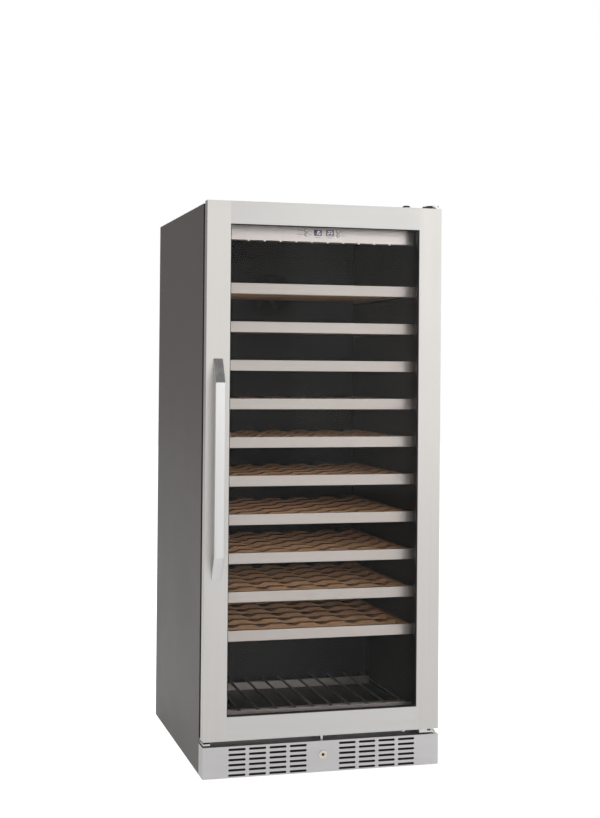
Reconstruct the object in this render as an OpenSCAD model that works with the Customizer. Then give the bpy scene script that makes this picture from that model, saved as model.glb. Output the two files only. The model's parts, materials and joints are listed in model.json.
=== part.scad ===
// Tall single-zone wine cooler: an insulated cabinet with a framed double-glazed
// door hinged on the right, ten pull-out shelves, a lit control panel, a slotted
// base grille with a lock, and the cooling machinery in its rear foot.
// +Z is up, -Y is the door side, and the origin is on the floor under the middle.

/* [Cabinet] */
// Overall width
overall_w = 595; // [560:1:600]
// Height of the cabinet's steel top
cabinet_top = 1378; // [1370:1:1390]
// Depth from the door's front to the cabinet's back
case_d = 665; // [640:1:690]
// Thickness of the steel skin
skin_t = 1.2; // [0.8:0.1:2]
// Thickness of the moulded liner
liner_t = 3; // [2:0.5:4]
// Clearance between the steel skin and the floor
skirt_gap = 3; // [2:0.5:6]

/* [Interior] */
// Clear width inside the liner
inner_w = 515; // [505:1:520]
// Height of the liner's floor
liner_floor = 118; // [110:1:122]
// Height of the liner's ceiling
liner_ceiling = 1345; // [1340:1:1350]
// Distance from the door's front to the liner's back wall
liner_back = 600; // [590:1:610]

/* [Door] */
// Height of the door's lower edge
door_bottom = 90.7; // [88:0.1:94]
// Height of the door's upper edge
door_top = 1382; // [1378:1:1386]
// Depth of the stainless door frame
frame_d = 28; // [24:1:30]
// Distance from the door's front to the cabinet's front flange
cabinet_front_d = 47; // [45:1:50]
// Width of the glazed aperture
aperture_w = 479; // [460:1:490]
// Height of the aperture's lower edge
aperture_bottom = 148; // [145:1:160]
// Height of the aperture's upper edge
aperture_top = 1327; // [1315:1:1335]
// Thickness of one glass pane
pane_t = 4; // [3:0.5:5]
// Air gap between the two panes
pane_gap = 12; // [8:1:14]

/* [Handle] */
// How far the handle stands in front of the door
handle_reach = 32; // [28:1:45]
// Width of the handle's flat bar
handle_w = 23.5; // [18:0.5:28]
// Thickness of the handle's flat bar
handle_t = 8; // [7:0.5:11]
// Height of the handle's lower end on the door
handle_bottom = 473; // [450:1:500]
// Height of the handle's upper end on the door
handle_top = 1004; // [980:1:1020]
// Height taken by each sloping end
handle_slope = 58; // [50:1:70]
// Distance from the door's left edge to the middle of the handle
handle_inset = 29.25; // [20:0.25:32]

/* [Hinge] */
// Distance from the cabinet's side to the hinge axis
hinge_inset = 12.5; // [12:0.5:14]
// Distance from the door's front to the hinge axis
hinge_depth = 18; // [16:1:19]
// Diameter of the hinge pins
hinge_pin_d = 8; // [6:0.5:9]

/* [Shelves] */
// Number of pull-out shelves
shelf_count = 10; // [10:1:10]
// Height of the top shelf's front strip
top_shelf_z = 1188.5; // [1180:0.5:1200]
// Distance from one shelf to the next
shelf_pitch = 93.9; // [92:0.1:94]
// Height of a shelf's steel front strip
strip_h = 26.3; // [24:0.1:28]
// Width of a shelf's steel front strip
strip_w = 502; // [490:1:505]
// Distance from the door's front to the steel front strips
strip_d = 52; // [51:0.5:55]
// Depth of the wooden racks
rack_d = 490; // [440:5:495]
// Height of the fixed lowest rack's steel strip
floor_strip_z = 149; // [146:1:152]

/* [Base grille] */
// Height of the grille's upper edge
grille_top = 78; // [75:1:80]
// Length of one air slot
slot_l = 42.5; // [38:0.5:44]
// Height of one air slot
slot_h = 5.6; // [5:0.1:7]
// Distance between columns of slots
slot_pitch_x = 50.5; // [46:0.5:52]
// Distance between rows of slots
slot_pitch_z = 12.2; // [11:0.1:12.3]
// Diameter of the lock's ring
lock_ring_d = 20; // [18:0.5:22]
// Height of the lock
lock_z = 45; // [40:1:46]

/* [Controls] */
// Height of the control panel's lower edge
panel_bottom = 1294; // [1290:0.5:1300]
// Diameter of the push buttons
button_d = 6.5; // [5:0.5:8]
// Travel of the push buttons
button_travel = 1; // [0.5:0.1:1.2]
// Number of lamps along the light bar
lamp_count = 10; // [6:1:12]

/* [Hidden] */
$fn = 48;

// Places along Y
door_front = (handle_reach - case_d) / 2;
cabinet_front = door_front + cabinet_front_d;
cabinet_back = door_front + case_d;
strip_front = door_front + strip_d;
liner_back_y = door_front + liner_back;
hinge_y = door_front + hinge_depth;
hinge_x = overall_w / 2 - hinge_inset;

// The panes, from the outside in
outer_pane_y = door_front + 5;
inner_pane_y = outer_pane_y + pane_t + pane_gap;
glazing_back = inner_pane_y + pane_t;
rebate = 12;
inner_frame_back = door_front + 40;
gasket_clear = 0.5;
bush_d = 12;
bush_h = 16;

// Feet and floor of the machinery
foot_x = 255;
foot_front_y = cabinet_front + 45;
foot_rear_y = cabinet_back - 50;
foot_pad_h = 9;
foot_travel = 20;
pan_z = 13;
pan_t = 2;
pan_hole_clear = 0.4;
stud_d = 10;

// The step in the liner over the machinery
step_top = 300;
step_front = door_front + 450;
foam_t = 30;
machine_top = step_top - foam_t;
machine_front = step_front + foam_t;

// Shelf parts
strip_t = 1.5;
strip_fold = 10;
rack_top_drop = 4;
rack_h = 18;
rail_d = 20;
ledge_t = 3.5;
ledge_w = 18;
runner_w = 12;
runner_x = 248;
slat_d = 24;
slat_count = 6;
slat_h = 12;
cradle_count = 6;
cradle_r = 38;
cradle_depth = 6;
rack_front = strip_front + strip_t;
rack_back = rack_front + rack_d;

// Controls
display_w = 20;
display_h = 15;
display_x = [-8.6, 22.6];
display_z = 1316.5;
button_places = [[-38.6, 1321.5], [-38.6, 1311], [43.2, 1321.5], [43.2, 1311]];
status_lamp = [-27.7, 1317];
button_clear = 0.3;
button_proud = 2.2;
button_len = 10;
board_clear = 1.2;
board_half = 60;
board_low = panel_bottom + 10;
board_high = panel_bottom + 42;
lower_fold = 26;
upper_fold = 14;
board_y = strip_front + button_len - button_proud + button_travel + board_clear;
board_t = 12;
lamp_bar_x = 195;
lamp_bar_d = 12;
lamp_d = 4;
lamp_drop = 2.5;
lamp_y = strip_front + 5;

// Lock
bolt_w = 6;
bolt_d = 10;
bolt_y = door_front + 12;
bolt_gap = 0.7;
strike_depth = 15;
cylinder_d = 13;
keyway_d = 7.5;

// ---------------------------------------------------------------- helpers

// A box given by its low corner and its high corner.
module block(low, high) {
    translate(low) cube(high - low);
}

// An outline drawn in X and Z, made t thick from y backwards.
module upright(y, t) {
    translate([0, y + t, 0]) rotate([90, 0, 0]) linear_extrude(t) children();
}

// A rectangle in X and Z, from its low corner to its high corner.
module area(low, high) {
    translate(low) square(high - low);
}

// A rectangle with round corners, centred.
module round_area(w, h, r) {
    square([w - 2 * r, h], center = true);
    square([w, h - 2 * r], center = true);
    for (x = [-1, 1], z = [-1, 1])
        translate([x * (w / 2 - r), z * (h / 2 - r)]) circle(r);
}

// A slot with round ends, centred.
module slot_area(l, h) {
    square([l - h, h], center = true);
    for (x = [-1, 1]) translate([x * (l - h) / 2, 0]) circle(h / 2);
}

// A picture frame in X and Z.
module ring_area(outer_x, outer_low, outer_high, inner_x, inner_low, inner_high) {
    difference() {
        area([-outer_x, outer_low], [outer_x, outer_high]);
        area([-inner_x, inner_low], [inner_x, inner_high]);
    }
}

// A straight bar along Y, from y backwards.
module y_bar(x, y, z, d, l) {
    translate([x, y, z]) rotate([-90, 0, 0]) cylinder(d = d, h = l);
}

// ---------------------------------------------------------------- cabinet

module outer_wrap() color("dimgray") difference() {
    block([-overall_w / 2, cabinet_front, skirt_gap], [overall_w / 2, cabinet_back, cabinet_top]);
    block([-overall_w / 2 + skin_t, cabinet_front - 1, skirt_gap - 1],
        [overall_w / 2 - skin_t, cabinet_back + 1, cabinet_top - skin_t]);
}

// The back has louvres in front of the machinery and a cut-out for the inlet.
inlet_x = -200;
inlet_z = 60;
inlet_w = 30;
inlet_h = 24;
module back_panel() color("darkgray") {
    in_x = overall_w / 2 - skin_t;
    upright(cabinet_back - 3, 1.2) difference() {
        area([-in_x, 17], [in_x, cabinet_top - skin_t]);
        for (row = [0:9], side = [-1, 0, 1])
            translate([side * 130 + 30, 100 + row * 15]) slot_area(100, 6);
        translate([inlet_x, inlet_z]) square([inlet_w, inlet_h], center = true);
    }
}

// Outer boundary of the liner's shell, seen from the side, in Y and Z.
module liner_side(grow) {
    polygon([[cabinet_front - 1, liner_floor - grow], [cabinet_front - 1, liner_ceiling + grow],
        [liner_back_y + grow, liner_ceiling + grow], [liner_back_y + grow, step_top - grow],
        [step_front + grow, step_top - grow], [step_front + grow, liner_floor - grow]]);
}

// The space of the liner, grown outwards by its wall.
module liner_space(grow) {
    w = inner_w + 2 * grow;
    translate([-w / 2, 0, 0]) rotate([90, 0, 90]) linear_extrude(w) liner_side(grow);
}

module inner_liner() color("#1c1b1d") {
    difference() {
        liner_space(liner_t);
        liner_space(0);
        block([-overall_w, cabinet_front - 2, 0], [overall_w, cabinet_front, cabinet_top]);
    }
    flange_x = overall_w / 2 - skin_t;
    upright(cabinet_front, liner_t)
        ring_area(flange_x, door_bottom, cabinet_top - skin_t,
            inner_w / 2, liner_floor, liner_ceiling);
}

module cabinet_insulation() color("khaki") difference() {
    in_x = overall_w / 2 - skin_t;
    block([-in_x, cabinet_front + liner_t, door_bottom],
        [in_x, cabinet_back - 3, cabinet_top - skin_t]);
    liner_space(liner_t);
    block([-in_x - 1, machine_front, 0], [in_x + 1, cabinet_back, machine_top]);
}

// A pan under the machinery, turned up along the cabinet's front.
front_vent_x = 230;
module base_plate() color("slategray") {
    in_x = overall_w / 2 - skin_t;
    difference() {
        block([-in_x, cabinet_front, pan_z], [in_x, cabinet_back, pan_z + pan_t]);
        for (place = foot_places) translate([place[0], place[1], pan_z - 1])
            cylinder(d = stud_d + 2 * pan_hole_clear, h = pan_t + 2);
    }
    upright(cabinet_front, 2) difference() {
        area([-in_x, pan_z + pan_t], [in_x, door_bottom]);
        area([-front_vent_x, 24], [front_vent_x, 72]);
    }
}

first_slot_x = 62;
slot_columns = [for (side = [-1, 1], column = [0:3]) side * (first_slot_x + column * slot_pitch_x)];
first_slot_z = 9;
module base_grille() color("silver") {
    half = overall_w / 2;
    side_t = 1.5;
    upright(door_front, side_t) difference() {
        area([-half, skirt_gap], [half, grille_top]);
        for (x = slot_columns, row = [0:5])
            translate([x, first_slot_z + row * slot_pitch_z]) slot_area(slot_l, slot_h);
        translate([0, lock_z]) circle(d = lock_ring_d - 4);
    }
    for (side = [-1, 1]) {
        low = min(side * half, side * (half - side_t));
        block([low, door_front + side_t, skirt_gap], [low + side_t, cabinet_front, grille_top]);
    }
    difference() {
        block([-half + side_t, door_front + side_t, grille_top - side_t],
            [half - side_t, cabinet_front - flange_t - 1, grille_top]);
        translate([0, bolt_y + bolt_d / 2, grille_top - 5])
            cube([bolt_w + 2, bolt_d + 2, 20], center = true);
    }
}

// ---------------------------------------------------------------- lock

// A ring on the grille with a barrel behind it, which the cylinder turns in.
module lock_housing() color("wheat") translate([0, door_front, lock_z]) rotate([-90, 0, 0]) {
    difference() {
        union() {
            translate([0, 0, -2]) cylinder(d = lock_ring_d, h = 2);
            cylinder(d = lock_ring_d - 4, h = 11);
        }
        translate([0, 0, -3]) cylinder(d = cylinder_d + 0.1, h = 20);
    }
}

module lock_cylinder() color("dimgray") translate([0, door_front, lock_z]) rotate([-90, 0, 0])
    difference() {
        translate([0, 0, -1.6]) cylinder(d = cylinder_d, h = 13);
        translate([0, 0, -2.6]) cylinder(d = keyway_d, h = 2.2);
        translate([0, 0, -2.6]) linear_extrude(6) slot_area(keyway_d - 1, 1.8);
    }

// A flat bolt behind the grille that rises into the door's lower edge.
module lock_bolt() color("silver")
    block([-bolt_w / 2, bolt_y, lock_z + 12], [bolt_w / 2, bolt_y + bolt_d, door_bottom - bolt_gap]);

// ---------------------------------------------------------------- hinges

// A plate on the cabinet's top that reaches over the door and carries the upper pin.
// It lies on a spacer, and two screws go through both.
top_plate_z = door_top + 1;
top_plate_t = 2.5;
top_plate_low = [206, door_front + 7];
top_plate_high = [293, cabinet_front + 70];
top_screw_x = 222;
top_screw_y = [cabinet_front + 22, cabinet_front + 52];
pin_l = 17;
pin_head_d = 22;
pin_head_h = 5;
module top_hinge() color("silver") {
    spacer_front = cabinet_front + 6;
    difference() {
        union() {
            block([top_plate_low[0], top_plate_low[1], top_plate_z],
                [top_plate_high[0], top_plate_high[1], top_plate_z + top_plate_t]);
            block([top_plate_low[0], spacer_front, cabinet_top],
                [top_plate_high[0], top_plate_high[1], top_plate_z]);
        }
        for (y = top_screw_y) translate([top_screw_x, y, cabinet_top - 1]) cylinder(d = 5.2, h = 12);
    }
    translate([hinge_x, hinge_y, top_plate_z - pin_l]) cylinder(d = hinge_pin_d, h = pin_l);
    translate([hinge_x, hinge_y, top_plate_z + top_plate_t]) cylinder(d = pin_head_d, h = pin_head_h);
}

// A moulded cap on the plate: a shell with a sloping left side, open below, with a round
// notch at its front right corner for the pin's head and a lip over the plate's front edge.
cap_z = top_plate_z + top_plate_t;
cap_h = 3.5;
cap_low = 250;
cap_high = 292.5;
cap_slope = 14;
cap_wall = 1.2;
cap_clear = 0.2;
cap_front = top_plate_low[1] - cap_wall - cap_clear;
cap_depth = top_plate_high[1] - cap_front;
module cap_side(low, top, inset) {
    polygon([[cap_low + inset * cap_slope / cap_h, low], [cap_low + cap_slope + inset, top],
        [cap_high - inset, top], [cap_high - inset, low]]);
}
module top_hinge_cover() color("#3a393b") {
    notch_r = pin_head_d / 2 + 0.4;
    lip_z = top_plate_z + cap_clear;
    difference() {
        union() {
            upright(cap_front, cap_depth) cap_side(cap_z, cap_z + cap_h, 0);
            block([cap_low, cap_front, lip_z], [hinge_x, cap_front + cap_wall, cap_z + cap_wall]);
        }
        upright(cap_front + cap_wall, cap_depth - 2 * cap_wall)
            cap_side(cap_z - 1, cap_z + cap_h - cap_wall, cap_wall);
        translate([hinge_x, hinge_y, cap_z]) cylinder(r = notch_r, h = 10);
        block([hinge_x - notch_r, cap_front - 1, cap_z], [hinge_x + 1, hinge_y, cap_z + 8]);
        block([hinge_x, cap_front - 1, cap_z], [cap_high + 1, hinge_y + notch_r, cap_z + 8]);
    }
}

// The right bracket carries the lower hinge pin and the closing cam. The left one fills the
// same gap. Each is an arm over the grille with a flange on the cabinet's front.
arm_z = 81;
arm_t = 4;
arm_front = door_front + 6;
flange_t = 3;
flange_h = 20;
right_arm_x = [250, 292];
left_arm_x = [-295, -278];
cam_x = [250.5, 271];
cam_d = 14;
boss_d = 12;
boss_h = 4.5;
lower_pin_h = 20;
module bottom_brackets() color("gainsboro") {
    for (x = [left_arm_x, right_arm_x]) {
        block([x[0], arm_front, arm_z], [x[1], cabinet_front - flange_t, arm_z + arm_t]);
        block([x[0], cabinet_front - flange_t, arm_z + arm_t - flange_h],
            [x[1], cabinet_front, arm_z + arm_t]);
    }
    block([cam_x[0], arm_front, arm_z + arm_t], [cam_x[1], arm_front + cam_d, door_bottom - 1]);
    translate([hinge_x, hinge_y, arm_z + arm_t]) {
        cylinder(d = boss_d, h = boss_h);
        cylinder(d = hinge_pin_d, h = lower_pin_h);
    }
}

// ---------------------------------------------------------------- controls

module control_panel() color("silver") {
    half = strip_w / 2 + 4;
    upright(strip_front, strip_t) difference() {
        area([-half, panel_bottom], [half, liner_ceiling]);
        for (x = display_x) translate([x, display_z]) square([display_w, display_h], center = true);
        for (place = button_places) translate(place) circle(d = button_d + 2 * button_clear);
        translate(status_lamp) circle(d = 2);
    }
    difference() {
        block([-half, strip_front + strip_t, panel_bottom],
            [half, strip_front + lower_fold, panel_bottom + strip_t]);
        for (x = lamp_x) translate([x, lamp_y, panel_bottom - 1])
            cylinder(d = lamp_d + 2 * button_clear, h = strip_t + 2);
    }
    block([-half, strip_front + strip_t, liner_ceiling - strip_t],
        [half, strip_front + upper_fold, liner_ceiling]);
}

// Two display windows, a status lamp and the board that holds them.
module display_modules() color("#2d2838") {
    for (x = display_x) translate([x, strip_front + 5.5, display_z])
        cube([display_w - 0.4, 10, display_h - 0.4], center = true);
    y_bar(status_lamp[0], strip_front + 0.2, status_lamp[1], 1.8, 11);
    block([-board_half, board_y, board_low], [board_half, board_y + board_t, board_high]);
}

// A slim bar on the panel's lower fold, with round lamps that reach down through it.
lamp_x = [for (i = [0:lamp_count - 1]) -183 + i * 363 / (lamp_count - 1)];
module led_light_bar() color("white") {
    bar_z = panel_bottom + strip_t;
    lens_z = panel_bottom - lamp_drop + lamp_d / 2;
    block([-lamp_bar_x, lamp_y - lamp_d / 2 - 1, bar_z],
        [lamp_bar_x, lamp_y - lamp_d / 2 - 1 + lamp_bar_d, bar_z + 6]);
    for (x = lamp_x) translate([x, lamp_y, lens_z]) {
        cylinder(d = lamp_d, h = bar_z - lens_z + 1);
        sphere(d = lamp_d);
    }
}

module push_button(place) color("white")
    y_bar(place[0], strip_front - button_proud, place[1], button_d, button_len);

// ---------------------------------------------------------------- inside

module shelf_rails() color("#252427") {
    for (i = [0:shelf_count - 1], side = [-1, 1]) {
        top = top_shelf_z - i * shelf_pitch - rack_top_drop - rack_h - 0.5;
        low = min(side * inner_w / 2, side * (inner_w / 2 - ledge_w));
        block([low, rack_front + rail_d + 2, top - ledge_t], [low + ledge_w, rack_back + 6, top]);
    }
}

// A cross slat with a row of shallow round cradles.
module slat(y, z) {
    pitch = 2 * (runner_x - runner_w) / cradle_count;
    upright(y, slat_d) difference() {
        area([-runner_x + runner_w, z - slat_h], [runner_x - runner_w, z]);
        for (i = [0:cradle_count - 1])
            translate([(i - (cradle_count - 1) / 2) * pitch, z + cradle_r - cradle_depth])
                circle(cradle_r);
    }
}

// A wooden rack: front rail, two runners and cradled slats.
module shelf_rack(index) color("burlywood") {
    z = top_shelf_z - (index - 1) * shelf_pitch - rack_top_drop;
    rail_back = rack_front + rail_d;
    block([-runner_x, rack_front, z - rack_h], [runner_x, rail_back, z + rack_top_drop - strip_t]);
    for (side = [-1, 1]) {
        low = min(side * runner_x, side * (runner_x - runner_w));
        block([low, rail_back, z - rack_h], [low + runner_w, rack_back, z]);
    }
    step = (rack_d - rail_d - slat_d) / slat_count;
    for (i = [1:slat_count]) slat(rail_back + i * step, z - 1);
}

// A folded steel strip that caps a rack's front rail.
module shelf_strip(index) color("silver") {
    z = top_shelf_z - (index - 1) * shelf_pitch;
    block([-strip_w / 2, strip_front, z - strip_h], [strip_w / 2, rack_front, z]);
    block([-strip_w / 2, rack_front, z - strip_t], [strip_w / 2, rack_front + strip_fold, z]);
    low = z - strip_h;
    block([-strip_w / 2, rack_front, low], [strip_w / 2, rack_front + strip_fold, low + strip_t]);
}

// The fixed lowest rack: a steel strip, and round bars over two cross bars, each bar a solid
// of its own with a hair's gap where a real rack is welded.
weld_gap = 0.2;
floor_bar_d = 6;
floor_bar_x = 235;
floor_bar_count = 11;
floor_bar_z = floor_strip_z - 8;
cross_bar_x = 248;
cross_bar_d = 8;
module floor_rack() color("silver") {
    bar_end = step_front - 6;
    pitch = 2 * floor_bar_x / (floor_bar_count - 1);
    block([-strip_w / 2, strip_front, floor_strip_z - strip_h], [strip_w / 2, rack_front, floor_strip_z]);
    for (i = [0:floor_bar_count - 1])
        y_bar(i * pitch - floor_bar_x, rack_front + weld_gap, floor_bar_z, floor_bar_d, bar_end - rack_front);
    for (y = [rack_front + 60, bar_end - 40])
        block([-cross_bar_x, y, liner_floor + 0.2],
            [cross_bar_x, y + cross_bar_d, floor_bar_z - floor_bar_d / 2 - weld_gap]);
}

// A rear duct panel with a round fan mouth and return slots.
duct_front = door_front + 565;
fan_z = 1190;
fan_mouth_d = 116;
module evaporator_cover() color("#2a292c") {
    low = step_top + 40;
    high = liner_ceiling - 60;
    upright(duct_front, 2) difference() {
        area([-225, low], [225, high]);
        translate([0, fan_z]) circle(d = fan_mouth_d);
        for (row = [0:7], side = [-1, 1])
            translate([side * 95, low + 40 + row * 16]) slot_area(120, 6);
    }
    for (side = [-1, 1]) {
        edge = min(side * 225, side * 223);
        block([edge, duct_front + 2, low], [edge + 2, liner_back_y, high]);
    }
    block([-223, duct_front + 2, high - 2], [223, liner_back_y, high]);
}

// Straight tubes joined by round bends at alternate ends.
coil_rows = 12;
coil_pitch = 26;
coil_half = 170;
coil_low = 720;
coil_y = liner_back_y - 12;
module evaporator_coil() color("peru") {
    for (i = [0:coil_rows - 1]) translate([-coil_half, coil_y, coil_low + i * coil_pitch])
        rotate([0, 90, 0]) cylinder(d = 8, h = 2 * coil_half);
    for (i = [0:coil_rows - 2]) {
        side = i % 2 == 0 ? 1 : -1;
        translate([side * coil_half, coil_y, coil_low + (i + 0.5) * coil_pitch])
            rotate([90, 0, 0]) difference() {
                rotate_extrude() translate([coil_pitch / 2, 0]) circle(d = 8, $fn = 24);
                translate([-side * 20, 0, 0]) cube([40, 60, 20], center = true);
            }
    }
}

// A fan with a hub and blades pitched across the air stream, turning about Y.
module fan(x, y, z, d, hub, blades, depth) translate([x, y, z]) rotate([-90, 0, 0]) {
    cylinder(d = hub, h = depth);
    for (i = [0:blades - 1]) rotate([0, 0, i * 360 / blades])
        translate([hub / 2 - 2, 0, depth / 2]) rotate([32, 0, 0])
            translate([0, -(d - hub) / 3.4, -0.8]) cube([(d - hub) / 2, (d - hub) / 1.7, 1.6]);
}

module evaporator_fan() color("gray") fan(0, duct_front + 3, fan_z, 104, 36, 5, 22);

// ---------------------------------------------------------------- machinery

machine_floor = pan_z + pan_t;
compressor_y = (machine_front + cabinet_back) / 2;
compressor_x = 130;
module compressor() color("#202022") {
    r = 68;
    shell_h = 120;
    translate([compressor_x, compressor_y, machine_floor + 22]) {
        cylinder(r = r, h = shell_h);
        translate([0, 0, shell_h]) intersection() {
            translate([0, 0, -60]) sphere(r = norm([60, r]), $fn = 64);
            cylinder(r = r, h = 60);
        }
        translate([0, 0, -4]) linear_extrude(4) round_area(170, 120, 10);
        translate([-r - 14, -24, 30]) cube([24, 48, 56]);
    }
    for (x = [-1, 1], y = [-1, 1])
        translate([compressor_x + x * 72, compressor_y + y * 48, machine_floor]) cylinder(d = 22, h = 18);
}

// A finned block that the fan draws room air through.
condenser_x = -150;
module condenser() color("dimgray") {
    fin_count = 24;
    fin_pitch = 7;
    fin_low = machine_floor + 6;
    half = 92;
    depth = 50;
    y = machine_front + 12;
    for (i = [0:fin_count - 1]) {
        x = condenser_x - 80 + i * fin_pitch;
        block([x, y, fin_low], [x + 1, y + depth, fin_low + 160]);
    }
    for (row = [0:4])
        translate([condenser_x - half, y + depth / 2, fin_low + 20 + row * 30])
            rotate([0, 90, 0]) cylinder(d = 10, h = 2 * half + 2);
    for (x = [-half, half])
        block([condenser_x + x - 2, y, machine_floor], [condenser_x + x + 2, y + depth, fin_low + 164]);
}

module condenser_fan() color("gray")
    fan(condenser_x, machine_front + 72, machine_floor + 86, 130, 44, 5, 26);

// A recessed three-pole inlet on the back.
module power_inlet() color("#151516") {
    upright(cabinet_back - 1.8, 1.8) translate([inlet_x, inlet_z]) difference() {
        round_area(50, 34, 4);
        square([inlet_w - 8, inlet_h - 8], center = true);
    }
    upright(cabinet_back - 26, 24.2)
        translate([inlet_x, inlet_z]) square([inlet_w - 1, inlet_h - 1], center = true);
    for (place = [[-6, -2], [6, -2], [0, 3]])
        translate([inlet_x + place[0] - 1, cabinet_back - 3, inlet_z + place[1] - 2]) cube([2, 2.6, 4]);
}

// ---------------------------------------------------------------- feet

foot_places = [for (y = [foot_front_y, foot_rear_y], x = [-foot_x, foot_x]) [x, y]];

// A levelling foot: a wide pad on a threaded stud.
module foot(place) color("#1a1a1b") translate([place[0], place[1], 0]) {
    cylinder(d = 38, h = foot_pad_h);
    cylinder(d = stud_d, h = pan_z + pan_t + foot_travel + 4);
}

// ---------------------------------------------------------------- door

module door_frame() color("silver") {
    half = overall_w / 2;
    glass_x = aperture_w / 2 + rebate;
    face_t = outer_pane_y - door_front;
    difference() {
        union() {
            upright(door_front, face_t) ring_area(half, door_bottom, door_top,
                aperture_w / 2, aperture_bottom, aperture_top);
            upright(outer_pane_y, frame_d - face_t) ring_area(half, door_bottom, door_top,
                glass_x, aperture_bottom - rebate, aperture_top + rebate);
        }
        for (z = [door_bottom - 1, door_top - bush_h])
            translate([hinge_x, hinge_y, z]) cylinder(d = bush_d, h = bush_h + 1);
        block([-bolt_w / 2 - 2, bolt_y - 2, door_bottom - 1],
            [bolt_w / 2 + 2, bolt_y + bolt_d + 2, door_bottom + strike_depth]);
    }
}

// A plastic frame that backs the steel one and holds the panes in its rebate.
inner_frame_x = 285;
inner_frame_hole_x = 243;
module door_inner_frame() color("#141415") {
    hole_low = aperture_bottom - 4;
    hole_high = aperture_top + 4;
    tongue = rebate - 0.5;
    upright(door_front + frame_d, inner_frame_back - door_front - frame_d)
        ring_area(inner_frame_x, door_bottom + 8, door_top - 8, inner_frame_hole_x, hole_low, hole_high);
    upright(glazing_back, door_front + frame_d - glazing_back)
        ring_area(aperture_w / 2 + tongue, aperture_bottom - tongue, aperture_top + tongue,
            inner_frame_hole_x, hole_low, hole_high);
}

module pane(y) upright(y, pane_t)
    area([-aperture_w / 2 - rebate + 1, aperture_bottom - rebate + 1],
        [aperture_w / 2 + rebate - 1, aperture_top + rebate - 1]);
module outer_glass() color("lightblue", 0.4) pane(outer_pane_y);
module inner_glass() color("lightblue", 0.4) pane(inner_pane_y);

module glass_spacer() color("black") upright(outer_pane_y + pane_t, pane_gap)
    ring_area(aperture_w / 2 + rebate - 2, aperture_bottom - rebate + 2, aperture_top + rebate - 2,
        aperture_w / 2 + 1, aperture_bottom - 1, aperture_top + 1);

gasket_x = 283;
gasket_w = 12;
module door_gasket() color("black")
    upright(inner_frame_back, cabinet_front - gasket_clear - inner_frame_back)
        ring_area(gasket_x, door_bottom + 10, door_top - 10,
            gasket_x - gasket_w, door_bottom + 10 + gasket_w, door_top - 10 - gasket_w);

// A flat bar that turns in to the door at both ends.
handle_x = -overall_w / 2 + handle_inset;
slope_in = norm([handle_reach, handle_slope]) * handle_t / handle_reach;
slope_run = slope_in + handle_slope * (handle_reach - handle_t) / handle_reach;
module door_handle() color("lightgray")
    translate([handle_x - handle_w / 2, door_front, 0]) rotate([90, 0, 90]) linear_extrude(handle_w)
        polygon([[0, handle_bottom], [-handle_reach, handle_bottom + handle_slope],
            [-handle_reach, handle_top - handle_slope], [0, handle_top], [0, handle_top - slope_in],
            [-handle_reach + handle_t, handle_top - slope_run],
            [-handle_reach + handle_t, handle_bottom + slope_run], [0, handle_bottom + slope_in]]);

// A plastic bush at each end of the door, on the hinge axis.
module hinge_bushes() color("white") {
    for (z = [door_bottom, door_top - bush_h]) translate([hinge_x, hinge_y, z]) difference() {
        cylinder(d = bush_d, h = bush_h);
        translate([0, 0, -1]) cylinder(d = hinge_pin_d + 0.1, h = bush_h + 2);
    }
}

// ---------------------------------------------------------------- assembly

outer_wrap();
back_panel();
inner_liner();
cabinet_insulation();
base_plate();
base_grille();
lock_housing();
lock_cylinder();
lock_bolt();
top_hinge();
top_hinge_cover();
bottom_brackets();
control_panel();
display_modules();
led_light_bar();
push_button(button_places[0]);  // button_power
push_button(button_places[1]);  // button_light
push_button(button_places[2]);  // button_up
push_button(button_places[3]);  // button_down
floor_rack();
shelf_rails();
evaporator_cover();
evaporator_coil();
evaporator_fan();
compressor();
condenser();
condenser_fan();
power_inlet();
foot(foot_places[0]);  // foot_front_left
foot(foot_places[1]);  // foot_front_right
foot(foot_places[2]);  // foot_rear_left
foot(foot_places[3]);  // foot_rear_right
door_frame();
door_inner_frame();
outer_glass();
glass_spacer();
inner_glass();
door_gasket();
door_handle();
hinge_bushes();
shelf_rack(1);  // shelf_rack_01
shelf_rack(2);  // shelf_rack_02
shelf_rack(3);  // shelf_rack_03
shelf_rack(4);  // shelf_rack_04
shelf_rack(5);  // shelf_rack_05
shelf_rack(6);  // shelf_rack_06
shelf_rack(7);  // shelf_rack_07
shelf_rack(8);  // shelf_rack_08
shelf_rack(9);  // shelf_rack_09
shelf_rack(10);  // shelf_rack_10
shelf_strip(1);  // shelf_strip_01
shelf_strip(2);  // shelf_strip_02
shelf_strip(3);  // shelf_strip_03
shelf_strip(4);  // shelf_strip_04
shelf_strip(5);  // shelf_strip_05
shelf_strip(6);  // shelf_strip_06
shelf_strip(7);  // shelf_strip_07
shelf_strip(8);  // shelf_strip_08
shelf_strip(9);  // shelf_strip_09
shelf_strip(10);  // shelf_strip_10
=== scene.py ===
"""Looks of a tall wine cooler: finishes, detailed pieces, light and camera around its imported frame."""
import json
import logging
import math
from dataclasses import dataclass, field
from enum import Enum
from typing import Callable, ClassVar, Optional, Sequence

import bmesh
import bpy
from mathutils import Matrix, Vector

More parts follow.
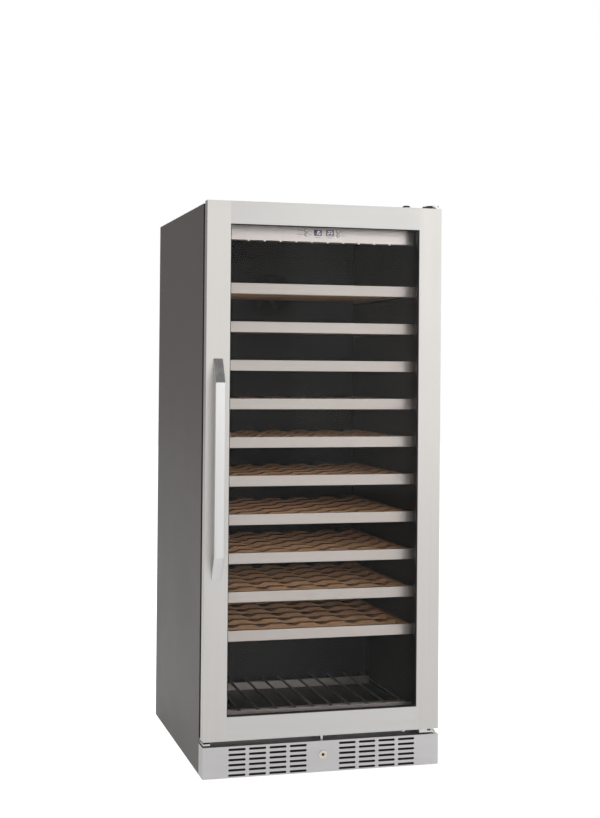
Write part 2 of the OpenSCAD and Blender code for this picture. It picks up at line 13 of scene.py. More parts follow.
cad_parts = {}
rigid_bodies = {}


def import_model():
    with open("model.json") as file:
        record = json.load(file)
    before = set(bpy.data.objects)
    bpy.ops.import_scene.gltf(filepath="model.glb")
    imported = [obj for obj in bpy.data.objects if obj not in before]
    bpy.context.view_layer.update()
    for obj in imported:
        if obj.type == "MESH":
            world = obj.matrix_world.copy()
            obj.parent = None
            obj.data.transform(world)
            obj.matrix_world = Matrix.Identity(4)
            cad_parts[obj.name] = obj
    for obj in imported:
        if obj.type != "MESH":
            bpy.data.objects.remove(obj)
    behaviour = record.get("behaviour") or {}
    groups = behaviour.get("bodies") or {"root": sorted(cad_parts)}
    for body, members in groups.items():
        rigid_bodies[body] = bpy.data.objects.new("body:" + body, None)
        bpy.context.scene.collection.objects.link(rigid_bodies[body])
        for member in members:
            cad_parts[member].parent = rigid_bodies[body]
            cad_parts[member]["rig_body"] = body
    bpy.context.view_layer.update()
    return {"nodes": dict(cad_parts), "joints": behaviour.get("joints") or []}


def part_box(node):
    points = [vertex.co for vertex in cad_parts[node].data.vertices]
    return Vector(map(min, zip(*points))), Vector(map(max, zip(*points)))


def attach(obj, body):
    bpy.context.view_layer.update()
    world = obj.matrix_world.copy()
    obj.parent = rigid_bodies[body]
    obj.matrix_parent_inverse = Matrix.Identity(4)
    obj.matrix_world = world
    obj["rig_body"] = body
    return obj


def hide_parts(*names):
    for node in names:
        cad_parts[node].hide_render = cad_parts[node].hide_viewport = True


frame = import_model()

MM = 0.001
LOG = logging.getLogger("wine_cooler")
Point = Sequence[float]
Outline = list[tuple[float, float]]


class Along(Enum):
    """The direction that a grain, a brush mark or a sweep runs in."""

    X = 0
    Y = 1
    Z = 2


# ------------------------------------------------------------------ node trees


class Tree:
    """A thin wrapper that adds nodes to a node tree and links them."""

    def __init__(self, tree: bpy.types.NodeTree) -> None:
        """Keeps the tree that nodes are added to."""
        self.tree = tree

    def add(self, kind: str, options: Optional[dict] = None, **inputs: object) -> bpy.types.Node:
        """Adds a node.

        Args:
            kind: the node's type name.
            options: attributes to set on the node.
            inputs: values or output sockets, by input name with spaces as underscores.

        Returns:
            The new node.
        """
        node = self.tree.nodes.new(kind)
        for name, value in (options or {}).items():
            setattr(node, name, value)
        for name, value in inputs.items():
            self.feed(node, name.replace("_", " "), value)
        return node

    def plug(self, socket: bpy.types.NodeSocket, value: object) -> None:
        """Links an input to value where value is an output socket, or else sets it to value."""
        if isinstance(value, bpy.types.NodeSocket):
            self.tree.links.new(value, socket)
        else:
            socket.default_value = value

    def feed(self, node: bpy.types.Node, name: str, value: object) -> None:
        """Plugs a value into the input of that name."""
        self.plug(node.inputs[name], value)

    def sum(self, operation: str, a: object, b: object = 0.0, clamp: bool = False) -> bpy.types.NodeSocket:
        """Adds a math node and returns its value."""
        node = self.add("ShaderNodeMath", {"operation": operation, "use_clamp": clamp})
        for socket, value in zip(node.inputs, (a, b)):
            self.plug(socket, value)
        return node.outputs[0]

    def vector(self, operation: str, a: object, b: object) -> bpy.types.Node:
        """Adds a vector math node and returns it."""
        node = self.add("ShaderNodeVectorMath", {"operation": operation})
        for socket, value in zip(node.inputs, (a, b)):
            self.plug(socket, value)
        return node

    def spread(self, value: object, low: float, high: float,
               to_low: float = 0.0, to_high: float = 1.0) -> bpy.types.NodeSocket:
        """Maps a value from one range to another, held at its ends."""
        node = self.add("ShaderNodeMapRange", None, Value=value, From_Min=low, From_Max=high,
                        To_Min=to_low, To_Max=to_high)
        return node.outputs["Result"]

    def stretch(self, vector: bpy.types.NodeSocket, scale: Point) -> bpy.types.NodeSocket:
        """Scales a vector, one factor for each axis."""
        return self.vector("MULTIPLY", vector, scale).outputs[0]

    def mix(self, factor: object, a: object, b: object) -> bpy.types.NodeSocket:
        """Mixes two colours, which are the mix node's inputs 6 and 7 and its output 2."""
        node = self.add("ShaderNodeMix", {"data_type": "RGBA"})
        for index, value in ((0, factor), (6, a), (7, b)):
            self.plug(node.inputs[index], value)
        return node.outputs[2]

    def choose(self, ray: str, others: bpy.types.NodeSocket,
               these: bpy.types.NodeSocket) -> bpy.types.NodeSocket:
        """Joins two shaders, the second for one kind of ray and the first for all others."""
        node = self.add("ShaderNodeMixShader")
        rays = self.add("ShaderNodeLightPath").outputs[ray]
        for socket, source in zip(node.inputs, (rays, others, these)):
            self.plug(socket, source)
        return node.outputs[0]

    def principled(self, **inputs: object) -> bpy.types.NodeSocket:
        """Adds a Principled shader and returns its output."""
        return self.add("ShaderNodeBsdfPrincipled", None, **inputs).outputs["BSDF"]


def rgb(red: float, green: float, blue: float) -> tuple[float, float, float, float]:
    """A colour with full alpha."""
    return (red, green, blue, 1.0)


def shade(colour: Point, factor: float) -> tuple[float, float, float, float]:
    """A lighter or darker version of a colour."""
    return rgb(*(min(1.0, c * factor) for c in colour[:3]))


VECTOR = "NodeSocketVector"
NUMBER = "NodeSocketFloat"


class Effects:
    """The shared effects, each a node group that is built the first time it is used."""

    def __init__(self) -> None:
        """Starts with no group built."""
        self.built: dict[str, bpy.types.NodeTree] = {}

    def group(self, name: str, inputs: Sequence[tuple[str, str, object]],
              outputs: Sequence[tuple[str, str]],
              fill: Callable[[Tree, bpy.types.Node, bpy.types.Node], None]) -> bpy.types.NodeTree:
        """Builds a group once, and returns it.

        Args:
            name: the group's name.
            inputs: name, socket type and default of each input.
            outputs: name and socket type of each output.
            fill: adds the group's nodes between its input and output nodes.

        Returns:
            The group.
        """
        if name not in self.built:
            tree = bpy.data.node_groups.new(name, "ShaderNodeTree")
            for label, kind, value in inputs:
                socket = tree.interface.new_socket(label, in_out="INPUT", socket_type=kind)
                if value is not None:
                    socket.default_value = value
            for label, kind in outputs:
                tree.interface.new_socket(label, in_out="OUTPUT", socket_type=kind)
            fill(Tree(tree), tree.nodes.new("NodeGroupInput"), tree.nodes.new("NodeGroupOutput"))
            self.built[name] = tree
        return self.built[name]

    def place(self, tree: Tree, group: bpy.types.NodeTree, **inputs: object) -> bpy.types.Node:
        """Puts a group into a material with its own values."""
        node = tree.tree.nodes.new("ShaderNodeGroup")
        node.node_tree = group
        for name, value in inputs.items():
            tree.feed(node, name.replace("_", " "), value)
        return node

    def brush(self) -> bpy.types.NodeTree:
        """Long brush marks: fine scratches and broad, faint bands."""
        def fill(t: Tree, given: bpy.types.Node, out: bpy.types.Node) -> None:
            fine = t.add("ShaderNodeTexNoise", None, Vector=given.outputs["Fine"],
                         Scale=1.0, Detail=3.0, Roughness=0.6)
            broad = t.add("ShaderNodeTexNoise", None, Vector=given.outputs["Broad"],
                          Scale=1.0, Detail=2.0, Roughness=0.5)
            t.feed(out, "Scratches", t.spread(fine.outputs["Fac"], 0.3, 0.7))
            t.feed(out, "Bands", t.spread(broad.outputs["Fac"], 0.3, 0.7))
        return self.group("brush_marks", [("Fine", VECTOR, None), ("Broad", VECTOR, None)],
                          [("Scratches", NUMBER), ("Bands", NUMBER)], fill)

    def smudge(self) -> bpy.types.NodeTree:
        """Soft uneven patches, as wiped metal and handled plastic have."""
        def fill(t: Tree, given: bpy.types.Node, out: bpy.types.Node) -> None:
            cloud = t.add("ShaderNodeTexNoise", None, Vector=given.outputs["Vector"],
                          Scale=given.outputs["Scale"], Detail=5.0, Roughness=0.62, Distortion=0.4)
            mask = t.spread(cloud.outputs["Fac"], 0.42, 0.72)
            t.feed(out, "Mask", t.sum("MULTIPLY", mask, given.outputs["Amount"], clamp=True))
        return self.group("smudges",
                          [("Vector", VECTOR, None), ("Scale", NUMBER, 6.0), ("Amount", NUMBER, 1.0)],
                          [("Mask", NUMBER)], fill)

    def stipple(self) -> bpy.types.NodeTree:
        """The fine pebbled skin of moulded plastic, or the orange peel of paint."""
        def fill(t: Tree, given: bpy.types.Node, out: bpy.types.Node) -> None:
            cells = t.add("ShaderNodeTexVoronoi", {"feature": "SMOOTH_F1"}, Vector=given.outputs["Vector"],
                          Scale=given.outputs["Scale"], Smoothness=0.6)
            grit = t.add("ShaderNodeTexNoise", None, Vector=given.outputs["Vector"],
                         Scale=t.sum("MULTIPLY", given.outputs["Scale"], 2.3), Detail=2.0)
            t.feed(out, "Height", t.sum("ADD", cells.outputs["Distance"],
                                        t.sum("MULTIPLY", grit.outputs["Fac"], 0.5)))
        return self.group("stipple", [("Vector", VECTOR, None), ("Scale", NUMBER, 900.0)],
                          [("Height", NUMBER)], fill)

    def worn_and_highlit_edges(self) -> bpy.types.NodeTree:
        """A mask of the outer edges, broken up by noise: partly wear, partly a painted edge highlight."""
        def fill(t: Tree, given: bpy.types.Node, out: bpy.types.Node) -> None:
            rounded = t.add("ShaderNodeBevel", {"samples": 4}, Radius=given.outputs["Width"])
            plain = t.add("ShaderNodeNewGeometry")
            dot = t.vector("DOT_PRODUCT", rounded.outputs["Normal"], plain.outputs["Normal"])
            edge = t.spread(dot.outputs["Value"], 0.99, 0.8)
            chips = t.add("ShaderNodeTexNoise", None, Vector=given.outputs["Vector"], Scale=160.0, Detail=4.0)
            t.feed(out, "Mask", t.sum("MULTIPLY", edge, t.spread(chips.outputs["Fac"], 0.4, 0.62)))
        return self.group("worn_and_highlit_edges", [("Vector", VECTOR, None), ("Width", NUMBER, 0.001)],
                          [("Mask", NUMBER)], fill)

    def timber(self) -> bpy.types.NodeTree:
        """Growth lines, short flecks and pores along the grain, different in each board."""
        def fill(t: Tree, given: bpy.types.Node, out: bpy.types.Node) -> None:
            islands = t.add("ShaderNodeNewGeometry").outputs["Random Per Island"]
            moved = t.vector("ADD", given.outputs["Vector"], t.sum("MULTIPLY", islands, 37.0)).outputs[0]
            lines = t.add("ShaderNodeTexNoise", None, Vector=moved, Scale=1.0, Detail=4.0, Roughness=0.55,
                          Distortion=0.8)
            rings = t.sum("FRACT", t.sum("MULTIPLY", lines.outputs["Fac"], 9.0))
            pores = t.add("ShaderNodeTexNoise", None, Vector=moved, Scale=11.0, Detail=2.0)
            t.feed(out, "Rings", t.spread(rings, 0.0, 1.0))
            t.feed(out, "Pores", t.spread(pores.outputs["Fac"], 0.56, 0.7))
            t.feed(out, "Board", islands)
        return self.group("timber", [("Vector", VECTOR, None)],
                          [("Rings", NUMBER), ("Pores", NUMBER), ("Board", NUMBER)], fill)

    def patches(self, tree: Tree, where: bpy.types.NodeSocket, scale: float,
                amount: float) -> bpy.types.NodeSocket:
        """Puts smudges into a material and returns their mask."""
        return self.place(tree, self.smudge(), Vector=where, Scale=scale, Amount=amount).outputs["Mask"]

    def pebbles(self, tree: Tree, where: bpy.types.NodeSocket, scale: float) -> bpy.types.NodeSocket:
        """Puts a stipple into a material and returns its height."""
        return self.place(tree, self.stipple(), Vector=where, Scale=scale).outputs["Height"]

    def wear_and_highlight(self, tree: Tree, where: bpy.types.NodeSocket, width: float) -> bpy.types.NodeSocket:
        """Puts the worn edges, which also carry a painted edge highlight, into a material and returns their
        mask.
        """
        return self.place(tree, self.worn_and_highlit_edges(), Vector=where, Width=width).outputs["Mask"]


EFFECTS = Effects()


# ------------------------------------------------------------------ finishes


class Finish:
    """A surface finish, turned into one material the first time it is used."""

    made: ClassVar[dict[str, bpy.types.Material]] = {}

    def material(self) -> bpy.types.Material:
        """The finish's material."""
        if self.name not in Finish.made:
            material = bpy.data.materials.new(self.name)
            material.use_nodes = True
            material.node_tree.nodes.clear()
            tree = Tree(material.node_tree)
            place = tree.add("ShaderNodeTexCoord").outputs["Object"]
            tree.add("ShaderNodeOutputMaterial", None, Surface=self.surface(tree, place))
            Finish.made[self.name] = material
        return Finish.made[self.name]

    def surface(self, tree: Tree, place: bpy.types.NodeSocket) -> bpy.types.NodeSocket:
        """Builds the finish's shader and returns its output."""
        raise NotImplementedError


def bumped(tree: Tree, height: object, distance: float, strength: float = 1.0) -> bpy.types.NodeSocket:
    """A normal from a height."""
    bump = tree.add("ShaderNodeBump", None, Height=height, Distance=distance, Strength=strength)
    return bump.outputs["Normal"]


@dataclass(frozen=True)
class BrushedSteel(Finish):
    """Stainless steel brushed in one direction."""

    name: str
    colour: tuple[float, float, float] = (0.60, 0.585, 0.565)
    along: Along = Along.X
    roughness: float = 0.40
    contrast: float = 0.035

    def scales(self, fine: float, long: float) -> list[float]:
        """The scale of a noise along each axis: long marks one way, fine ones across."""
        return [long if axis is self.along else fine for axis in Along]

    def surface(self, tree: Tree, place: bpy.types.NodeSocket) -> bpy.types.NodeSocket:
        """Metal with scratches in its roughness and bump, and bands in its colour."""
        fine = tree.stretch(place, self.scales(2400.0, 18.0))
        broad = tree.stretch(place, self.scales(90.0, 2.2))
        marks = EFFECTS.place(tree, EFFECTS.brush(), Fine=fine, Broad=broad)
        scratches, bands = marks.outputs["Scratches"], marks.outputs["Bands"]
        wiped = EFFECTS.patches(tree, place, 5.0, 0.5)
        tone = tree.sum("ADD", tree.sum("MULTIPLY", bands, 0.6), tree.sum("MULTIPLY", scratches, 0.4))
        colour = tree.mix(tone, shade(self.colour, 1 - self.contrast), shade(self.colour, 1 + self.contrast))
        rough = tree.sum("ADD", tree.spread(tone, 0.0, 1.0, self.roughness - 0.05, self.roughness + 0.05),
                         tree.sum("MULTIPLY", wiped, 0.04))
        turn = 0.0 if self.along is Along.Z else 0.25
        return tree.principled(Base_Color=colour, Metallic=1.0, Roughness=rough, Anisotropic=0.4,
                               Anisotropic_Rotation=turn, Normal=bumped(tree, scratches, 2e-5, 0.3))


@dataclass(frozen=True)
class Paint(Finish):
    """Satin or gloss paint on sheet steel."""

    name: str
    colour: tuple[float, float, float]
    roughness: float = 0.42
    peel: float = 260.0
    depth: float = 2e-5
    gloss: float = 0.35
    # the colour that rubbed edges take: partly wear, partly a painted edge highlight
    edge: tuple[float, float, float] = (0.32, 0.31, 0.30)

    def surface(self, tree: Tree, place: bpy.types.NodeSocket) -> bpy.types.NodeSocket:
        """Paint with orange peel, faint patches, and rubbed edges that are lighter partly as wear and partly
        as a painted highlight.
        """
        peel = EFFECTS.pebbles(tree, place, self.peel)
        patches = EFFECTS.patches(tree, place, 3.5, 0.8)
        rubbed_and_highlit = EFFECTS.wear_and_highlight(tree, place, 0.0012)
        colour = tree.mix(patches, shade(self.colour, 0.95), shade(self.colour, 1.06))
        # edges lightened towards the edge colour: partly wear, partly a painted highlight
        colour = tree.mix(tree.sum("MULTIPLY", rubbed_and_highlit, 0.3), colour, rgb(*self.edge))
        rough = tree.spread(patches, 0.0, 1.0, self.roughness, self.roughness + 0.07)
        return tree.principled(Base_Color=colour, Roughness=rough, Specular_IOR_Level=self.gloss,
                               Normal=bumped(tree, peel, self.depth))


@dataclass(frozen=True)
class Moulded(Finish):
    """Injection-moulded plastic or rubber with a fine pebbled skin."""

    name: str
    colour: tuple[float, float, float]
    roughness: float = 0.45
    grain: float = 900.0
    depth: float = 4e-5
    bloom: float = 1.35

    def surface(self, tree: Tree, place: bpy.types.NodeSocket) -> bpy.types.NodeSocket:
        """Plastic with a pebbled bump, and a paler bloom where it has been handled."""
        skin = EFFECTS.pebbles(tree, place, self.grain)
        dull = EFFECTS.patches(tree, place, 9.0, 0.7)
        colour = tree.mix(dull, rgb(*self.colour), shade(self.colour, self.bloom))
        rough = tree.spread(dull, 0.0, 1.0, self.roughness, self.roughness + 0.1)
        return tree.principled(Base_Color=colour, Roughness=rough, Normal=bumped(tree, skin, self.depth))


@dataclass(frozen=True)
class PlainMetal(Finish):
    """Cast, plated or drawn metal with no brush marks."""

    name: str
    colour: tuple[float, float, float]
    roughness: float = 0.25
    grain: float = 300.0
    tarnish: tuple[float, float, float] = (0.30, 0.28, 0.25)
    amount: float = 0.25

    def surface(self, tree: Tree, place: bpy.types.NodeSocket) -> bpy.types.NodeSocket:
        """Metal with fine pitting and patches of tarnish."""
        pits = EFFECTS.pebbles(tree, place, self.grain)
        stain = EFFECTS.patches(tree, place, 40.0, self.amount)
        rough = tree.spread(stain, 0.0, 0.5, self.roughness, self.roughness + 0.18)
        colour = tree.mix(stain, rgb(*self.colour), rgb(*self.tarnish))
        return tree.principled(Base_Color=colour, Metallic=1.0, Roughness=rough,
                               Normal=bumped(tree, pits, 1e-5, 0.5))


@dataclass(frozen=True)
class Galvanised(Finish):
    """Zinc-coated sheet with its spangle of crystals."""

    name: str
    colour: tuple[float, float, float] = (0.46, 0.47, 0.48)

    def surface(self, tree: Tree, place: bpy.types.NodeSocket) -> bpy.types.NodeSocket:
        """Each crystal has its own tone and roughness."""
        cells = tree.add("ShaderNodeTexVoronoi", None, Vector=place, Scale=85.0, Randomness=1.0)
        tone = tree.add("ShaderNodeSeparateColor", None, Color=cells.outputs["Color"]).outputs["Red"]
        dull = EFFECTS.patches(tree, place, 7.0, 0.6)
        colour = tree.mix(tone, shade(self.colour, 0.84), shade(self.colour, 1.14))
        colour = tree.mix(dull, colour, shade(self.colour, 0.8))
        rough = tree.sum("ADD", tree.spread(tone, 0.0, 1.0, 0.34, 0.5), tree.sum("MULTIPLY", dull, 0.12))
        return tree.principled(Base_Color=colour, Metallic=1.0, Roughness=rough,
                               Normal=bumped(tree, tone, 1e-5, 0.3))


@dataclass(frozen=True)
class Beech(Finish):
    """Oiled beech with its grain along one axis."""

    name: str
    along: Along
    light: tuple[float, float, float] = (0.58, 0.35, 0.18)
    dark: tuple[float, float, float] = (0.40, 0.21, 0.095)
    fleck: tuple[float, float, float] = (0.24, 0.115, 0.05)

    def surface(self, tree: Tree, place: bpy.types.NodeSocket) -> bpy.types.NodeSocket:
        """Wood with growth lines, flecks and pores, each board in its own tone, and edges lightened partly as
        wear and partly as a painted highlight.
        """
        scale = [7.0 if axis is self.along else 95.0 for axis in Along]
        grain = EFFECTS.place(tree, EFFECTS.timber(), Vector=tree.stretch(place, scale))
        rings, pores, board = (grain.outputs[n] for n in ("Rings", "Pores", "Board"))
        rubbed_and_highlit = EFFECTS.wear_and_highlight(tree, place, 0.0015)
        colour = tree.mix(rings, rgb(*self.light), rgb(*self.dark))
        colour = tree.mix(tree.sum("MULTIPLY", board, 0.35), colour, shade(self.dark, 0.9))
        colour = tree.mix(tree.sum("MULTIPLY", pores, 0.55), colour, rgb(*self.fleck))
        # edges lightened: partly wear, partly a painted highlight
        colour = tree.mix(tree.sum("MULTIPLY", rubbed_and_highlit, 0.3), colour, shade(self.light, 1.15))
        rough = tree.sum("ADD", 0.46, tree.sum("MULTIPLY", pores, 0.18))
        return tree.principled(Base_Color=colour, Roughness=rough,
                               Normal=bumped(tree, tree.sum("SUBTRACT", rings, pores), 6e-5, 0.5))


@dataclass(frozen=True)
class PaneGlass(Finish):
    """Coated low-reflection glass that lamps shine through."""

    name: str
    colour: tuple[float, float, float] = (0.985, 0.98, 0.98)
    ior: float = 1.12

    def surface(self, tree: Tree, place: bpy.types.NodeSocket) -> bpy.types.NodeSocket:
        """Glass with a film of wiping marks, and a clear path for rays from lamps."""
        film = EFFECTS.patches(tree, place, 4.0, 0.6)
        glass = tree.principled(Base_Color=rgb(*self.colour), Metallic=0.0, IOR=self.ior,
                                Transmission_Weight=1.0, Roughness=tree.spread(film, 0.0, 1.0, 0.0, 0.02))
        clear = tree.add("ShaderNodeBsdfTransparent", None, Color=rgb(*self.colour)).outputs["BSDF"]
        return tree.choose("Is Shadow Ray", glass, clear)


@dataclass(frozen=True)
class Lit(Finish):
    """A lamp lens or a lit digit, its glow broken up by a frosted speckle."""

    name: str
    colour: tuple[float, float, float]
    strength: float

    def surface(self, tree: Tree, place: bpy.types.NodeSocket) -> bpy.types.NodeSocket:
        """A frosted, glowing plastic."""
        frost = EFFECTS.pebbles(tree, place, 1500.0)
        glow = tree.mix(tree.spread(frost, 0.2, 0.9), rgb(*self.colour), shade(self.colour, 0.85))
        return tree.principled(Base_Color=shade(self.colour, 0.9), Roughness=0.35, Emission_Color=glow,
                               Emission_Strength=self.strength)


STILE_STEEL = BrushedSteel("stile_steel", along=Along.Z)
CROSS_STEEL = BrushedSteel("cross_steel", colour=(0.585, 0.578, 0.565), along=Along.X)
RAIL_STEEL = BrushedSteel("strip_steel", colour=(0.53, 0.495, 0.466), along=Along.X, roughness=0.46)
PANEL_STEEL = BrushedSteel("panel_steel", colour=(0.55, 0.52, 0.50), along=Along.X, roughness=0.33)
GRILLE_STEEL = BrushedSteel("grille_steel", colour=(0.565, 0.555, 0.56), along=Along.X, roughness=0.42)
HANDLE_STEEL = BrushedSteel("handle_steel", colour=(0.70, 0.695, 0.695), along=Along.Z, roughness=0.3)
SIDE_PAINT = Paint("side_paint", (0.102, 0.092, 0.087), roughness=0.46)
GLOSS_PAINT = Paint("compressor_paint", (0.008, 0.008, 0.009), roughness=0.16, peel=120.0, depth=4e-5,
                    gloss=0.5)
LINER = Moulded("liner_plastic", (0.013, 0.0125, 0.013), roughness=0.5)
FRAME_PLASTIC = Moulded("frame_plastic", (0.010, 0.010, 0.011), roughness=0.42, grain=1200.0)
DARK_PLASTIC = Moulded("dark_plastic", (0.018, 0.018, 0.019), roughness=0.48)
COVER_PLASTIC = Moulded("cover_plastic", (0.016, 0.016, 0.017), roughness=0.5)
FAN_PLASTIC = Moulded("fan_plastic", (0.045, 0.046, 0.048), roughness=0.4)
WHITE_PLASTIC = Moulded("white_plastic", (0.84, 0.84, 0.82), roughness=0.25, grain=1500.0, depth=8e-6,
                        bloom=0.96)
RUBBER = Moulded("seal_rubber", (0.014, 0.014, 0.015), roughness=0.7, grain=700.0, depth=5e-5, bloom=1.8)
FOAM = Moulded("foam", (0.72, 0.60, 0.34), roughness=0.85, grain=320.0, depth=6e-4, bloom=0.85)
PRINT = Moulded("printed_mark", (0.20, 0.19, 0.185), roughness=0.6)
# near-black standing for the shade in screw recesses, in the key dish and round the buttons: painted shade
RECESS_SHADE = Moulded("painted_recess_shade", (0.012, 0.012, 0.012), roughness=0.6)
DISPLAY = Moulded("display_window", (0.115, 0.10, 0.155), roughness=0.12, grain=1500.0, depth=2e-6)
NICKEL = PlainMetal("nickel", (0.80, 0.755, 0.66), roughness=0.18)
ZINC = PlainMetal("bright_zinc", (0.70, 0.70, 0.68), roughness=0.24)
COPPER = PlainMetal("copper", (0.78, 0.40, 0.25), roughness=0.26, tarnish=(0.30, 0.14, 0.08), amount=0.6)
ALUMINIUM = PlainMetal("aluminium", (0.62, 0.63, 0.64), roughness=0.34, amount=0.3)
SHEET = Galvanised("galvanised_sheet")
BEECH_ACROSS = Beech("beech_across", Along.X)
BEECH_ALONG = Beech("beech_along", Along.Y)
GLASS = PaneGlass("pane_glass")
LAMP = Lit("lamp_lens", (1.0, 1.0, 1.0), 1.3)
DIGIT = Lit("lit_digit", (0.86, 0.84, 0.95), 0.55)


# ------------------------------------------------------------------ meshes

SHARP = math.radians(35)
WELD = 1e-6


def angles(count: int) -> list[float]:
    """Evenly spaced angles of one full turn."""
    return [2 * math.pi * i / count for i in range(count)]


def middle_of(node: str) -> tuple[float, float, float]:
    """The middle of a CAD node's box."""
    low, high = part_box(node)
    return ((low.x + high.x) / 2, (low.y + high.y) / 2, (low.z + high.z) / 2)


def pivot_of(body: str) -> Point:
    """A point on the axis that a body turns about."""
    return next(joint["pos_m"] for joint in frame["joints"] if joint["child"] == body)


def arc(centre: tuple[float, float], radius: float, start: float, end: float, steps: int) -> Outline:
    """Points along an arc, from one angle to another in degrees."""
    turned = [math.radians(start + (end - start) * i / steps) for i in range(steps + 1)]
    return [(centre[0] + radius * math.cos(a), centre[1] + radius * math.sin(a)) for a in turned]


def rounded(outline: Outline, radius: float, steps: int = 6) -> Outline:
    """An outline whose corners are arcs, each tangent to both of its sides."""
    made: Outline = []
    count = len(outline)
    for i, corner in enumerate(outline):
        here = Vector(corner)
        back = (Vector(outline[i - 1]) - here).normalized()
        ahead = (Vector(outline[(i + 1) % count]) - here).normalized()
        half = back.angle(ahead) / 2
        run = radius / math.tan(half)
        centre = here + (back + ahead).normalized() * radius / math.sin(half)
        first, last = here + back * run - centre, here + ahead * run - centre
        turn = first.angle_signed(last)
        for step in range(steps + 1):
            point = centre + Matrix.Rotation(-turn * step / steps, 2) @ first
            made.append((point.x, point.y))
    return made


class Shape:
    """Closed solids, in metres, gathered into one mesh. Each is its own island."""

    def __init__(self) -> None:
        """Starts with an empty mesh."""
        self.mesh = bmesh.new()
        self.slot = 0

    def loft(self, rings: Sequence[Sequence[Vector]], caps: bool = True, closed: bool = False) -> None:
        """Joins rings of points of one length, and caps the first and the last."""
        made = [[self.mesh.verts.new(p) for p in ring] for ring in rings]
        pairs = list(zip(made, made[1:])) + ([(made[-1], made[0])] if closed else [])
        faces = []
        for a, b in pairs:
            faces += [self.mesh.faces.new((a[i - 1], a[i], b[i], b[i - 1])) for i in range(len(a))]
        if caps and not closed:
            faces += [self.mesh.faces.new(made[0]), self.mesh.faces.new(made[-1])]
        for face in faces:
            face.material_index = self.slot

    def prism(self, outline: Outline, along: Along, start: float, end: float) -> None:
        """A solid of one outline, drawn in the two other axes in their order."""
        def lift(a: float, b: float, c: float) -> Vector:
            return Vector({Along.X: (c, a, b), Along.Y: (a, c, b), Along.Z: (a, b, c)}[along])
        self.loft([[lift(a, b, c) for a, b in outline] for c in (start, end)])

    def box(self, low: Point, high: Point) -> None:
        """A box from its low corner to its high corner."""
        outline = [(low[0], low[1]), (high[0], low[1]), (high[0], high[1]), (low[0], high[1])]
        self.prism(outline, Along.Z, low[2], high[2])

    def rod(self, start: Point, end: Point, radius: float, sides: int = 20, tip: float = 1.0) -> None:
        """A round bar between two points, tapered where tip isn't 1."""
        a, b = Vector(start), Vector(end)
        turn = (b - a).to_track_quat("Z", "Y")
        circle = [Vector((math.cos(t), math.sin(t), 0)) for t in angles(sides)]
        self.loft([[a + turn @ (p * radius) for p in circle],
                   [b + turn @ (p * radius * tip) for p in circle]])

    def lathe(self, profile: Outline, centre: Point, axis: Point, sides: int = 40) -> None:
        """A solid of revolution. The profile is (radius, height) from one end of the axis to the other."""
        turn = Vector(axis).to_track_quat("Z", "Y")
        rings = []
        for radius, height in profile:
            rings.append([Vector(centre) + turn @ Vector((radius * math.cos(t), radius * math.sin(t), height))
                          for t in angles(sides)])
        self.loft(rings)

    def tube(self, points: Sequence[Point], radius: float, sides: int = 12) -> None:
        """A round tube along a route of points."""
        path = [Vector(p) for p in points]
        up = Vector((0.13, 0.21, 0.97)).normalized()
        rings = []
        for i, point in enumerate(path):
            ahead = (path[min(i + 1, len(path) - 1)] - path[max(i - 1, 0)]).normalized()
            side = ahead.cross(up).normalized()
            up = side.cross(ahead).normalized()
            rings.append([point + (side * math.cos(t) + up * math.sin(t)) * radius for t in angles(sides)])
        self.loft(rings)

    def rim(self, profile: Outline, low: Point, high: Point, y: float) -> None:
        """A moulding with mitred corners round an upright rectangle.

        Args:
            profile: (outwards, backwards) points of the moulding's section.
            low: the rectangle's low corner, in X and Z.
            high: its high corner.
            y: where the section's zero lies.
        """
        rings = []
        for sx, sz in ((-1, -1), (1, -1), (1, 1), (-1, 1)):
            x, z = (high[0] if sx > 0 else low[0]), (high[1] if sz > 0 else low[1])
            rings.append([Vector((x + sx * out, y + back, z + sz * out)) for out, back in profile])
        self.loft(rings, closed=True)

    def piece(self, name: str, body: str, finishes: Sequence[Finish], edge: float = 0.0,
              replaces: Sequence[str] = (), segments: int = 2) -> bpy.types.Object:
        """Makes the object and lets it ride on its body.

        Args:
            name: the piece's name.
            body: the CAD body it moves with.
            finishes: a finish for each material slot.
            edge: radius of its rounded edges, or 0.
            replaces: the CAD nodes that it stands for.
            segments: steps across a rounded edge.

        Returns:
            The new object.
        """
        bmesh.ops.recalc_face_normals(self.mesh, faces=self.mesh.faces)
        data = bpy.data.meshes.new(name)
        self.mesh.to_mesh(data)
        self.mesh.free()
        for finish in finishes:
            data.materials.append(finish.material())
        obj = bpy.data.objects.new(name, data)
        bpy.context.scene.collection.objects.link(obj)
        soften(obj, edge, segments)
        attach(obj, body)
        if replaces:
            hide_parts(*replaces)
        LOG.info("%s on %s: %d faces", name, body, len(data.polygons))
        return obj


def soften(obj: bpy.types.Object, edge: float, segments: int = 2) -> None:
    """Rounds an object's sharp edges, and shades it smooth between them."""
    for polygon in obj.data.polygons:
        polygon.use_smooth = True
    if edge:
        bevel = obj.modifiers.new("rounded_edges", "BEVEL")
        bevel.width, bevel.segments = edge, segments
        bevel.limit_method, bevel.angle_limit = "ANGLE", SHARP
        flat = obj.modifiers.new("flat_faces", "WEIGHTED_NORMAL")
        flat.mode, flat.weight, flat.keep_sharp = "FACE_AREA", 100, True
    else:
        obj.data.set_sharp_from_angle(angle=SHARP)


